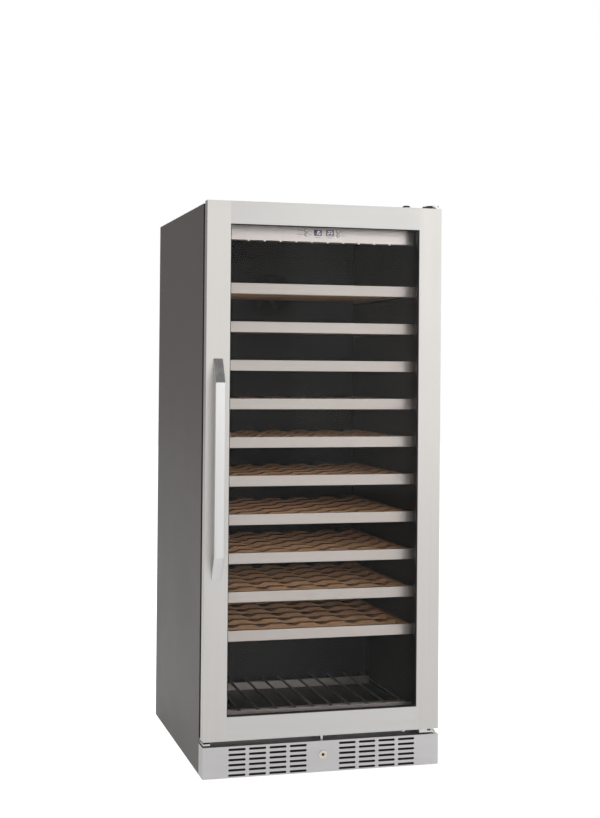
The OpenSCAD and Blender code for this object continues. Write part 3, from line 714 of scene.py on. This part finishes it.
def refined(node: str, finish: Finish, edge: float, segments: int = 2,
            second: Optional[Finish] = None, pick: Callable[[Vector], bool] = lambda middle: False,
            cuts: Sequence[float] = ()) -> bpy.types.Object:
    """A clean copy of a CAD node with rounded edges, which stands for it.

    Args:
        node: the CAD node's name.
        finish: its finish.
        edge: radius of the rounded edges.
        segments: steps across a rounded edge.
        second: another finish for some of its faces.
        pick: says of a face's middle whether the face has the second finish.
        cuts: places along X where its faces are parted, so that each side can have its own finish.

    Returns:
        The new object.
    """
    shape = Shape()
    mesh = shape.mesh
    mesh.from_mesh(frame["nodes"][node].data)
    bmesh.ops.remove_doubles(mesh, verts=mesh.verts, dist=WELD)
    bmesh.ops.dissolve_limit(mesh, angle_limit=math.radians(0.4), verts=mesh.verts, edges=mesh.edges)
    for x in cuts:
        bmesh.ops.bisect_plane(mesh, geom=[*mesh.verts, *mesh.edges, *mesh.faces], dist=WELD,
                               plane_co=(x, 0, 0), plane_no=(1, 0, 0))
    for face in mesh.faces:
        face.material_index = int(second is not None and pick(face.calc_center_median()))
    body = frame["nodes"][node]["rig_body"]
    finishes = [finish] if second is None else [finish, second]
    return shape.piece(node + "_finished", body, finishes, edge, [node], segments)


def dress(node: str, finish: Finish) -> None:
    """Gives a CAD node its finish, and leaves its shape alone."""
    data = frame["nodes"][node].data
    if not data.materials:
        data.materials.append(None)
    for index in range(len(data.materials)):
        data.materials[index] = finish.material()
    LOG.info("%s: %s", node, finish.name)


def screw(shape: Shape, place: Point, out: Point, radius: float) -> None:
    """A pan-head screw with a cross recess drawn as a dark cross of painted shade, added to a shape.

    Args:
        shape: what it is added to.
        place: the middle of its seat.
        out: the direction its head faces.
        radius: of the head.
    """
    height = radius * 0.55
    dome = [(radius * math.cos(a), height * math.sin(a)) for a in (math.radians(15 * i) for i in range(6))]
    shape.lathe([(radius * 0.98, -0.0002)] + dome + [(radius * 0.2, height)], place, out, 24)
    # the cross takes the second finish, painted dark as the shade in the recess
    shape.slot = 1
    turn = Vector(out).to_track_quat("Z", "Y")
    for angle in (0.4, 0.4 + math.pi / 2):
        arm = turn @ Vector((math.cos(angle), math.sin(angle), 0)) * radius * 0.5
        side = turn @ Vector((-math.sin(angle), math.cos(angle), 0)) * radius * 0.11
        top = Vector(place) + Vector(out) * (height * 1.02)
        low = Vector(place) + Vector(out) * (height * 0.8)
        shape.loft([[c + arm + side, c - arm + side, c - arm - side, c + arm - side] for c in (low, top)])
    shape.slot = 0


# ------------------------------------------------------------------ the door


@dataclass
class Door:
    """The glazed door: steel frame, inner frame, panes, gasket and handle."""

    edge: float = 1.6 * MM
    handle_edge: float = 1.3 * MM
    handle_bend: float = 7.0 * MM
    handle_thick: float = 8 * MM
    handle_rise: float = 58 * MM
    overlap: float = 10 * MM
    seal_w: float = 2.2 * MM
    body: str = "door"
    front: float = field(default_factory=lambda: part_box("door_frame")[0].y)

    def build(self) -> None:
        """Makes and dresses every piece of the door."""
        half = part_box("glass_spacer")[1].x - self.overlap
        refined("door_frame", STILE_STEEL, self.edge, 3, CROSS_STEEL,
                lambda middle: abs(middle.x) < half, (-half, half))
        refined("door_inner_frame", FRAME_PLASTIC, 0.8 * MM)
        for node in ("outer_glass", "inner_glass"):
            dress(node, GLASS)
        dress("glass_spacer", FRAME_PLASTIC)
        refined("hinge_bushes", WHITE_PLASTIC, 0.4 * MM)
        self.glazing_seal()
        self.gasket()
        self.handle()
        self.stop_pad()

    def glazing_seal(self) -> None:
        """A thin black seal between the steel's inner edge and the outer pane."""
        low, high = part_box("glass_spacer")
        inset = self.overlap
        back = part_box("outer_glass")[0].y - self.front
        seal = Shape()
        foot = back - 0.05 * MM
        profile = [(-self.seal_w, back - 0.9 * MM), (-self.seal_w / 2, back - 1.8 * MM),
                   (0.0, back - 2.0 * MM), (0.0, foot), (-self.seal_w, foot)]
        seal.rim(profile, (low.x + inset, low.z + inset), (high.x - inset, high.z - inset), self.front)
        seal.piece("glazing_seal", self.body, [RUBBER])

    def gasket(self) -> None:
        """A bellows gasket with a magnet bead, mitred at its corners."""
        low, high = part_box("door_gasket")
        width, depth = 12 * MM, high.y - low.y
        fold = [(0.0, 0.0), (0.0, 0.12), (0.12, 0.2), (0.12, 0.42), (0.0, 0.5), (0.0, 0.9), (0.08, 1.0),
                (0.92, 1.0), (1.0, 0.9), (1.0, 0.5), (0.88, 0.42), (0.88, 0.2), (1.0, 0.12), (1.0, 0.0)]
        profile = [(-width * (1 - out), depth * back) for out, back in fold]
        seal = Shape()
        seal.rim(profile, (low.x, low.z), (high.x, high.z), low.y)
        seal.piece("door_gasket_bellows", self.body, [RUBBER], 0.0, ["door_gasket"])

    def handle(self) -> None:
        """A flat bar, bent in to the door at both ends."""
        low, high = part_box("door_handle")
        reach, thick, rise = self.front - low.y, self.handle_thick, self.handle_rise
        run = math.hypot(reach, rise) * thick / reach
        slope = run + rise * (reach - thick) / reach
        y = self.front
        inner = low.y + thick
        outline = [(y, low.z), (low.y, low.z + rise), (low.y, high.z - rise), (y, high.z),
                   (y, high.z - run), (inner, high.z - slope), (inner, low.z + slope), (y, low.z + run)]
        smooth = [outline[0]] + self.bend(outline, 1) + self.bend(outline, 2) + [outline[3], outline[4]]
        smooth += self.bend(outline, 5) + self.bend(outline, 6) + [outline[7]]
        bar = Shape()
        bar.prism(smooth, Along.X, low.x, high.x)
        bar.piece("handle_bar", self.body, [HANDLE_STEEL], self.handle_edge, ["door_handle"],
                  3)

    def stop_pad(self) -> None:
        """A small white pad under the door, near its hinge side."""
        low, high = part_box("door_frame")
        pad = Shape()
        pad.lathe([(5.0 * MM, 0.0), (5.0 * MM, 3.2 * MM), (4.4 * MM, 4.4 * MM), (3.0 * MM, 4.9 * MM)],
                  (high.x - 88 * MM, low.y + 11 * MM, low.z), (0, 0, -1), 28)
        pad.piece("door_stop_pad", self.body, [WHITE_PLASTIC])

    def bend(self, outline: Outline, index: int) -> Outline:
        """The arc that replaces one corner of the bar's outline."""
        three = [outline[index - 1], outline[index], outline[index + 1]]
        steps = 8
        return rounded(three, self.handle_bend, steps)[steps + 1:2 * (steps + 1)]


# ------------------------------------------------------------------ shelves


@dataclass
class Shelves:
    """The ten pull-out shelves: a beech rack behind a folded steel strip."""

    runner_w: float = 12 * MM
    rail_d: float = 20 * MM
    slat_d: float = 24 * MM
    slat_h: float = 12 * MM
    runner_h: float = 18 * MM
    screw_r: float = 3.2 * MM
    slats: int = 6
    cradles: int = 6
    cradle_r: float = 38 * MM
    cradle_depth: float = 6 * MM
    edge: float = 1.2 * MM

    def build(self) -> None:
        """Makes every shelf from the frame's own nodes."""
        for rack in sorted(n for n in frame["nodes"] if n.startswith("shelf_rack_")):
            number = rack[-2:]
            self.rack(rack, number)
            refined("shelf_strip_" + number, RAIL_STEEL, 0.7 * MM)
            self.fixings(rack, number)

    def slat_outline(self, half: float, z: float) -> Outline:
        """A slat's outline, with shallow round cradles in its top."""
        pitch = 2 * half / self.cradles
        depth = self.cradle_depth
        reach = math.degrees(math.acos((self.cradle_r - depth) / self.cradle_r))
        outline: Outline = [(-half, z - self.slat_h), (half, z - self.slat_h), (half, z)]
        for i in reversed(range(self.cradles)):
            centre = ((i - (self.cradles - 1) / 2) * pitch, z + self.cradle_r - depth)
            outline += arc(centre, self.cradle_r, -90 + reach, -90 - reach, 8)
        return outline + [(-half, z)]

    def slat_places(self, node: str) -> list[float]:
        """Where each slat of a rack starts, from front to back."""
        low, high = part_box(node)
        first = low.y + self.rail_d
        step = (high.y - low.y - self.rail_d - self.slat_d) / self.slats
        return [first + i * step for i in range(1, self.slats + 1)]

    def rack(self, node: str, number: str) -> None:
        """One rack, board by board: rail, runners and slats."""
        low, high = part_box(node)
        top = low.z + self.runner_h
        inner = high.x - self.runner_w
        rack = Shape()
        rack.box((low.x, low.y, low.z), (high.x, low.y + self.rail_d, high.z))
        for y in self.slat_places(node):
            rack.prism(self.slat_outline(inner, top - 1 * MM), Along.Y, y, y + self.slat_d)
        rack.slot = 1
        for side in (low.x, high.x - self.runner_w):
            rack.box((side, low.y + self.rail_d, low.z), (side + self.runner_w, high.y, top))
        rack.piece("beech_rack_" + number, "shelf_" + number, [BEECH_ACROSS, BEECH_ALONG], self.edge,
                   [node])

    def fixings(self, node: str, number: str) -> None:
        """Screws sunk in the tops of the runners, one beside each end of every slat."""
        low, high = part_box(node)
        seat = low.z + self.runner_h - 0.3 * MM
        screws = Shape()
        for side in (low.x + self.runner_w / 2, high.x - self.runner_w / 2):
            for y in self.slat_places(node):
                screw(screws, (side, y + self.slat_d / 2, seat), (0, 0, 1), self.screw_r)
        screws.piece("rack_screws_" + number, "shelf_" + number, [ZINC, RECESS_SHADE])


# ------------------------------------------------------------------ cabinet


@dataclass
class Cabinet:
    """The casing: skin, back, liner, rails, hinges and grille."""

    body: str = "cabinet"
    bracket_h: float = 20 * MM
    cam_x: float = 272 * MM
    cover_h: float = 3.5 * MM
    hinge_screw_x: float = 16 * MM
    hinge_screws_y: tuple[float, float] = (62 * MM, 92 * MM)
    hinge_screw_r: float = 4.6 * MM

    def build(self) -> None:
        """Dresses the casing and adds its fasteners."""
        refined("outer_wrap", SIDE_PAINT, 0.5 * MM)
        refined("back_panel", SHEET, 0.4 * MM, 1)
        refined("inner_liner", LINER, 1.2 * MM)
        dress("cabinet_insulation", FOAM)
        refined("base_plate", SHEET, 0.5 * MM)
        refined("base_grille", GRILLE_STEEL, 0.45 * MM)
        refined("shelf_rails", DARK_PLASTIC, 0.8 * MM)
        refined("floor_rack", RAIL_STEEL, 0.6 * MM)
        refined("top_hinge", ZINC, 0.4 * MM)
        refined("top_hinge_cover", COVER_PLASTIC, 0.4 * MM)
        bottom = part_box("bottom_brackets")[0].z + self.bracket_h + 0.2 * MM
        refined("bottom_brackets", ZINC, 0.5 * MM, 2, WHITE_PLASTIC,
                lambda middle: middle.x < self.cam_x and middle.z > bottom)
        self.hinge_trim()
        self.filter()
        self.back_screws()

    def hinge_trim(self) -> None:
        """Two screws through the upper hinge plate, and a dark cap on its end."""
        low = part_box("top_hinge")[0]
        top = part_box("top_hinge_cover")[1].z - self.cover_h
        screws = Shape()
        for back in self.hinge_screws_y:
            screw(screws, (low.x + self.hinge_screw_x, low.y + back, top), (0, 0, 1), self.hinge_screw_r)
        screws.piece("top_hinge_screws", self.body, [ZINC, RECESS_SHADE])
        corners = ((-5.5, -2.2), (10, -2.2), (10, 1.2), (4, 2), (-3, 2), (-5.5, 0.5))
        outline = [(low.x + x * MM, top + z * MM) for x, z in corners]
        end = Shape()
        end.prism(outline, Along.Y, low.y - 0.5 * MM, low.y + 11 * MM)
        end.piece("top_hinge_end_cap", self.body, [COVER_PLASTIC], 0.4 * MM, ())

    def filter(self) -> None:
        """A black dust filter close behind the grille's slots."""
        low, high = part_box("base_grille")
        lock_gap, end_gap, folds = 16 * MM, 20 * MM, 24
        pitch = (high.z - low.z - 6 * MM) / folds
        zigzag = [(low.y + (4 + 3 * (i % 2)) * MM, low.z + 2 * MM + i * pitch) for i in range(folds + 1)]
        back = [(y + 1.5 * MM, z) for y, z in reversed(zigzag)]
        mesh = Shape()
        for a, b in ((low.x + end_gap, -lock_gap), (lock_gap, high.x - end_gap)):
            mesh.prism(zigzag + back, Along.X, a, b)
        mesh.piece("dust_filter", self.body, [DARK_PLASTIC])

    def back_screws(self) -> None:
        """Screws round the back panel's edge."""
        low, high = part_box("back_panel")
        inset, pitch, head, across = 9 * MM, 190 * MM, 4 * MM, 3
        screws = Shape()
        rows = int((high.z - low.z - 2 * inset) / pitch)
        for i in range(rows + 1):
            z = low.z + inset + i * (high.z - low.z - 2 * inset) / rows
            for x in (low.x + inset, high.x - inset):
                screw(screws, (x, high.y, z), (0, 1, 0), head)
        for i in range(1, across):
            x = low.x + (high.x - low.x) * i / across
            screw(screws, (x, high.y, high.z - inset), (0, 1, 0), head)
        screws.piece("back_panel_screws", self.body, [ZINC, RECESS_SHADE])


@dataclass
class Lock:
    """The lock in the grille and its bolt."""

    def build(self) -> None:
        """Makes the lock's pieces."""
        refined("lock_housing", NICKEL, 0.7 * MM, 3)
        refined("lock_cylinder", NICKEL, 0.25 * MM)
        refined("lock_bolt", ZINC, 0.5 * MM)
        self.keyway()

    def keyway(self) -> None:
        """A dark disc on the floor of the dish that the key goes into: painted shade in the dish."""
        x, _, z = middle_of("lock_cylinder")
        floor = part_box("lock_cylinder")[0].y + 0.5 * MM
        dish = Shape()
        dish.lathe([(3.65 * MM, -0.6 * MM), (3.65 * MM, 0.0), (3.2 * MM, 0.15 * MM)], (x, floor, z),
                   (0, -1, 0), 32)
        dish.piece("keyway_shade_disc", "lock_barrel", [RECESS_SHADE])


# ------------------------------------------------------------------ controls

BUTTONS = ("button_power", "button_light", "button_up", "button_down")
SEVEN_BARS = {"0": "abcdef", "1": "bc", "2": "abged", "3": "abgcd", "4": "fgbc", "5": "afgcd",
              "6": "afgecd", "7": "abc", "8": "abcdefg", "9": "abfgcd"}


@dataclass
class Controls:
    """The control panel with its displays, buttons and lamps."""

    body: str = "cabinet"
    readings: tuple[str, str] = ("15", "23")
    window_x: tuple[float, float] = (-8.6 * MM, 22.6 * MM)
    lamp: tuple[float, float] = (-27.7 * MM, 1317 * MM)
    lamps: int = 10
    digit_h: float = 8.6 * MM
    digit_w: float = 4.4 * MM
    stroke: float = 1.1 * MM
    # outer radius of the dark rings of painted shade round the buttons
    shade_ring_r: float = 4.3 * MM

    def build(self) -> None:
        """Makes the panel's pieces."""
        refined("control_panel", PANEL_STEEL, 0.5 * MM)
        dress("display_modules", DISPLAY)
        refined("led_light_bar", WHITE_PLASTIC, 0.5 * MM)
        for node in BUTTONS:
            refined(node, WHITE_PLASTIC, 0.8 * MM, 3)
        self.digits()
        self.lenses()
        self.marks()
        self.shade_rings()

    def digits(self) -> None:
        """Two readings in seven-bar digits, just in front of the windows."""
        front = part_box("display_modules")[0].y
        lit = Shape()
        window_z = (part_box("button_power")[1].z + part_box("button_light")[0].z) / 2
        for centre, reading in zip(self.window_x, self.readings):
            for place, figure in zip((-1, 1), reading):
                self.figure(lit, figure, centre + place * self.digit_w * 0.78, front, window_z)
        x, z = self.lamp
        dot = [(0.9 * MM, 0.0), (0.9 * MM, 0.1 * MM), (0.5 * MM, 0.4 * MM)]
        lit.lathe(dot, (x, front, z), (0, -1, 0), 16)
        lit.piece("display_digits", self.body, [DIGIT])

    def figure(self, lit: Shape, figure: str, x: float, y: float, z: float) -> None:
        """One digit of seven bars.

        Args:
            lit: the shape that its bars are added to.
            figure: the digit.
            x: its middle, across.
            y: the front of the window.
            z: its middle, in height.
        """
        w, h, t = self.digit_w / 2, self.digit_h / 2, self.stroke / 2
        flat = {"a": h, "g": 0.0, "d": -h}
        upright = {"b": (w, h / 2), "c": (w, -h / 2), "f": (-w, h / 2), "e": (-w, -h / 2)}
        for bar in SEVEN_BARS[figure]:
            if bar in flat:
                a, b = (x - w, z + flat[bar] - t), (x + w, z + flat[bar] + t)
            else:
                dx, dz = upright[bar]
                a, b = (x + dx - t, z + dz - h / 2), (x + dx + t, z + dz + h / 2)
            lit.box((a[0], y - 0.15 * MM, a[1]), (b[0], y - 0.02 * MM, b[1]))

    def lenses(self) -> None:
        """A domed lens on the lower end of each lamp."""
        low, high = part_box("led_light_bar")
        first, last, radius = low.x + 12 * MM, high.x - 15 * MM, 2 * MM
        dome = arc((0, 0), radius + 0.1 * MM, 0, 84, 7)
        lenses = Shape()
        for i in range(self.lamps):
            x = first + i * (last - first) / (self.lamps - 1)
            lenses.lathe(dome, (x, low.y + 1 * MM + radius, low.z + radius), (0, 0, -1), 20)
        lenses.piece("lamp_lenses", self.body, [LAMP])

    def marks(self) -> None:
        """Plain printed dashes beside the buttons, under the windows and under the small lamp."""
        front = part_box("control_panel")[0].y
        shifts = (-12 * MM, -13 * MM, 12 * MM, 17 * MM)
        lengths = (16 * MM, 14 * MM, 7 * MM, 11 * MM)
        spots = [(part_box(node)[0].x + shift, middle_of(node)[2], length)
                 for node, shift, length in zip(BUTTONS, shifts, lengths)]
        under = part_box("button_light")[0].z - 3 * MM
        spots += [(x, under, 14 * MM) for x in self.window_x]
        spots.append((self.lamp[0], self.lamp[1] - 6 * MM, 8 * MM))
        prints = Shape()
        for x, z, length in spots:
            a, b, half = x - length / 2, x + length / 2, 0.6 * MM
            outline = rounded([(a, z - half), (b, z - half), (b, z + half), (a, z + half)], 0.5 * MM, 3)
            prints.prism(outline, Along.Y, front - 0.06 * MM, front + 0.1 * MM)
        prints.piece("printed_dashes", self.body, [PRINT])

    def shade_rings(self) -> None:
        """A dark ring round each button: painted shade for the gap and shadow round it."""
        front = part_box("control_panel")[0].y
        rings = Shape()
        for node in BUTTONS:
            low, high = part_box(node)
            x, _, z = middle_of(node)
            inner = (high.x - low.x) / 2 + 0.15 * MM
            section = [(inner, 0.0), (inner, -0.5 * MM), ((inner + self.shade_ring_r) / 2, -0.6 * MM),
                       (self.shade_ring_r, -0.2 * MM), (self.shade_ring_r, 0.0)]
            turned = [[Vector((x + out * math.cos(t), front + back, z + out * math.sin(t)))
                       for out, back in section] for t in angles(36)]
            rings.loft(turned, closed=True)
        rings.piece("button_shade_rings", self.body, [RECESS_SHADE])


# ------------------------------------------------------------------ machinery


@dataclass
class Machinery:
    """Compressor, condenser, coils, fans, inlet and feet."""

    body: str = "cabinet"

    def build(self) -> None:
        """Makes and dresses the working pieces."""
        refined("compressor", GLOSS_PAINT, 1.5 * MM, 3)
        dress("condenser", ALUMINIUM)
        refined("evaporator_cover", DARK_PLASTIC, 0.6 * MM)
        dress("evaporator_coil", COPPER)
        refined("power_inlet", DARK_PLASTIC, 0.5 * MM)
        self.fan("evaporator_fan", "inner_fan", 5)
        self.fan("condenser_fan", "rear_fan", 5)
        self.pipes()
        self.guard()
        for corner in ("front_left", "front_right", "rear_left", "rear_right"):
            self.foot("foot_" + corner, corner + "_foot")

    def fan(self, node: str, body: str, blades: int) -> None:
        """A moulded fan with a domed hub and curved, twisted blades.

        Args:
            node: the CAD fan it stands for.
            body: the body it turns with.
            blades: their number.
        """
        low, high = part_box(node)
        x, _, z = pivot_of(body)
        tip = min(high.x - low.x, high.z - low.z) / 2
        hub, y0, y1 = tip * 0.36, low.y + 2 * MM, high.y - 2 * MM
        fan = Shape()
        profile = [(hub * 0.35, 0.0), (hub * 0.8, 0.6 * MM), (hub, 3 * MM), (hub, y1 - y0)]
        fan.lathe(profile, (x, y0, z), (0, 1, 0), 36)
        steps = 7
        for blade in range(blades):
            rings = []
            for i in range(steps):
                share = i / (steps - 1)
                radius = hub * 0.94 + (tip - hub) * share
                pitch = math.radians(48 - 22 * share)
                middle = 2 * math.pi * blade / blades + 0.28 * share
                half = (y1 - y0) / 2 / math.sin(pitch) * 0.8
                ring = []
                for chord, thick in ((-1, 0), (-0.4, 1), (0.3, 1), (1, 0), (0.3, -0.6), (-0.4, -0.6)):
                    swing = chord * half * math.cos(pitch) / radius
                    y = (y0 + y1) / 2 + chord * half * math.sin(pitch) + thick * 0.9 * MM
                    angle = middle + swing
                    ring.append(Vector((x + radius * math.cos(angle), y, z + radius * math.sin(angle))))
                rings.append(ring)
            fan.loft(rings)
        fan.piece(node + "_moulded", body, [FAN_PLASTIC], 0.0, [node])

    def pipes(self) -> None:
        """Two copper pipes from the compressor to the condenser."""
        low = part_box("compressor")[0]
        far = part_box("condenser")[1]
        start = Vector((low.x + 12 * MM, middle_of("compressor")[1] - 20 * MM, low.z + 90 * MM))
        end = Vector((far.x, middle_of("condenser")[1], far.z - 24 * MM))
        steps = 16
        pipes = Shape()
        for drop, bow in ((0.0, 26 * MM), (-60 * MM, -14 * MM)):
            a, b = start + Vector((0, 0, drop)), end + Vector((0, 0, drop))
            route = []
            for i in range(steps + 1):
                t = i / steps
                sway = math.sin(math.pi * t)
                route.append(a.lerp(b, t * t * (3 - 2 * t)) + Vector((0, bow * sway, 18 * MM * sway)))
            pipes.tube(route, 3 * MM)
        pipes.piece("copper_pipes", self.body, [COPPER])

    def guard(self) -> None:
        """A wire guard over the inner fan's mouth."""
        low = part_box("evaporator_cover")[0]
        x, _, z = pivot_of("inner_fan")
        wires = Shape()
        for radius in (14 * MM, 26 * MM, 38 * MM, 50 * MM, 62 * MM):
            ring = [(x + radius * math.cos(a), low.y - 1.2 * MM, z + radius * math.sin(a))
                    for a in angles(40) + [2 * math.pi]]
            wires.tube(ring, 0.9 * MM, 8)
        y, reach = low.y - 0.4 * MM, 64 * MM
        for spoke in (45, 135, 225, 315):
            c, s = math.cos(math.radians(spoke)), math.sin(math.radians(spoke))
            wires.rod((x, y, z), (x + reach * c, y, z + reach * s), 1.1 * MM, 8)
        wires.piece("fan_guard", self.body, [DARK_PLASTIC])

    def foot(self, node: str, body: str) -> None:
        """A levelling foot: pad, hexagon and thread."""
        low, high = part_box(node)
        x, y, _ = middle_of(node)
        r = (high.x - low.x) / 2
        pad = [(r * 0.9, 0.0), (r * 0.97, 0.6 * MM), (r, 1.6 * MM), (r, 6 * MM), (r * 0.94, 7.4 * MM),
               (r * 0.5, 8.4 * MM), (8 * MM, 9 * MM)]
        foot = Shape()
        foot.lathe(pad, (x, y, low.z), (0, 0, 1), 48)
        foot.slot = 1
        foot.rod((x, y, low.z + 8.6 * MM), (x, y, low.z + 12.6 * MM), 8.2 * MM, 6)
        turns, pitch = 20, 1.25 * MM
        base = low.z + 12.4 * MM
        core, crest = 4.2 * MM, 5 * MM
        thread = [(core, 0.0)]
        for i in range(turns):
            thread += [(core, (i + 0.1) * pitch), (crest, (i + 0.5) * pitch), (core, (i + 0.9) * pitch)]
        foot.lathe(thread + [(3.6 * MM, high.z - base)], (x, y, base), (0, 0, 1), 24)
        foot.piece(node + "_threaded", body, [DARK_PLASTIC, ZINC], 0.0, [node])


# ------------------------------------------------------------------ studio


@dataclass(frozen=True)
class Studio:
    """Floor, light and camera."""

    yaw: float = 15.288
    pitch: float = -0.821
    roll: float = -0.474
    lens: float = 62.84
    sensor: float = 36.0
    rise: float = -0.0752
    eye: tuple[float, float, float] = (-0.97875, -3.3393, 0.98225)
    lobe: tuple[float, float, float] = (0.34, -0.92, 0.02)

    def camera(self) -> None:
        """A camera to the left of the cabinet, about level with the top of its handle."""
        yaw, pitch, roll = (math.radians(a) for a in (self.yaw, self.pitch, self.roll))
        ahead = Vector((math.sin(yaw) * math.cos(pitch), math.cos(yaw) * math.cos(pitch), -math.sin(pitch)))
        right = Vector((math.cos(yaw), -math.sin(yaw), 0))
        down = ahead.cross(right)
        across = right * math.cos(roll) + down * math.sin(roll)
        below = down * math.cos(roll) - right * math.sin(roll)
        data = bpy.data.cameras.new("camera")
        data.lens, data.sensor_width, data.shift_y = self.lens, self.sensor, self.rise
        data.clip_start, data.clip_end = 0.05, 60.0
        obj = bpy.data.objects.new("camera", data)
        bpy.context.scene.collection.objects.link(obj)
        turn = Matrix((across, -below, -ahead)).transposed().to_4x4()
        place = Vector(self.eye) + Vector((0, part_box("door_frame")[0].y, 0))
        obj.matrix_world = Matrix.Translation(place) @ turn
        bpy.context.scene.camera = obj

    def lamp(self, name: str, place: Point, aim: Point, size: tuple[float, float], power: float) -> None:
        """A soft rectangular lamp."""
        data = bpy.data.lights.new(name, "AREA")
        data.shape, data.size, data.size_y, data.energy = "RECTANGLE", size[0], size[1], power
        obj = bpy.data.objects.new(name, data)
        bpy.context.scene.collection.objects.link(obj)
        obj.location = place
        obj.rotation_euler = (Vector(aim) - Vector(place)).to_track_quat("-Z", "Y").to_euler()

    def world(self) -> None:
        """White to the camera; for light, bright in front to the right and dim behind and overhead."""
        world = bpy.data.worlds.new("studio")
        world.use_nodes = True
        world.node_tree.nodes.clear()
        tree = Tree(world.node_tree)
        way = tree.add("ShaderNodeTexCoord").outputs["Generated"]
        facing = tree.vector("DOT_PRODUCT", way, Vector(self.lobe).normalized())
        front = tree.spread(facing.outputs["Value"], -0.35, 0.95, 0.26, 1.2)
        height = tree.add("ShaderNodeSeparateXYZ", None, Vector=way).outputs["Z"]
        above = tree.spread(height, 0.25, 0.7)
        level = tree.sum("ADD", tree.sum("MULTIPLY", front, tree.sum("SUBTRACT", 1.0, above)),
                         tree.sum("MULTIPLY", above, 0.2))
        light = tree.add("ShaderNodeBackground", None, Color=rgb(1.0, 0.995, 0.985), Strength=level)
        seen = tree.add("ShaderNodeBackground", None, Color=rgb(1, 1, 1), Strength=1.0)
        both = tree.choose("Is Camera Ray", light.outputs[0], seen.outputs[0])
        tree.add("ShaderNodeOutputWorld", None, Surface=both)
        bpy.context.scene.world = world

    def floor(self) -> None:
        """A wide pale floor."""
        data = bpy.data.meshes.new("floor")
        half = 14.0
        corners = [(x * half, y * half, 0) for x, y in ((-1, -1), (1, -1), (1, 1), (-1, 1))]
        data.from_pydata(corners, [], [(0, 1, 2, 3)])
        material = bpy.data.materials.new("pale_floor")
        material.use_nodes = True
        shader = material.node_tree.nodes["Principled BSDF"]
        shader.inputs["Base Color"].default_value = rgb(0.8, 0.8, 0.8)
        shader.inputs["Roughness"].default_value = 0.9
        shader.inputs["Specular IOR Level"].default_value = 0.0
        shader.inputs["Emission Color"].default_value = rgb(1, 1, 1)
        tree = Tree(material.node_tree)
        eye = tree.add("ShaderNodeLightPath").outputs["Is Camera Ray"]
        tree.feed(shader, "Emission Strength", tree.spread(eye, 0.0, 1.0, 0.5, 0.95))
        data.materials.append(material)
        obj = bpy.data.objects.new("floor", data)
        bpy.context.scene.collection.objects.link(obj)

    def build(self) -> None:
        """Sets the whole studio."""
        self.camera()
        self.world()
        self.floor()
        aim = (0.0, -0.2, 0.8)
        self.lamp("key", (1.9, -3.4, 1.7), aim, (2.4, 2.8), 12.0)
        self.lamp("fill", (-3.2, -2.0, 1.6), aim, (2.0, 2.4), 8.0)
        self.lamp("top", (0.0, 0.6, 3.4), (0.0, 0.0, 1.0), (2.5, 2.5), 30.0)
        self.lamp("back", (2.6, 3.2, 2.2), (0.0, 0.3, 0.7), (2.0, 2.0), 22.0)
        bpy.context.scene.view_settings.view_transform = "Standard"


def main() -> None:
    """Builds the studio and the whole cooler, one sub-assembly after another."""
    logging.basicConfig(level=logging.INFO, format="%(name)s %(message)s")
    Studio().build()
    for part in (Cabinet(), Lock(), Controls(), Shelves(), Machinery(), Door()):
        part.build()
        LOG.info("built %s", type(part).__name__)


if __name__ == "__main__":
    main()
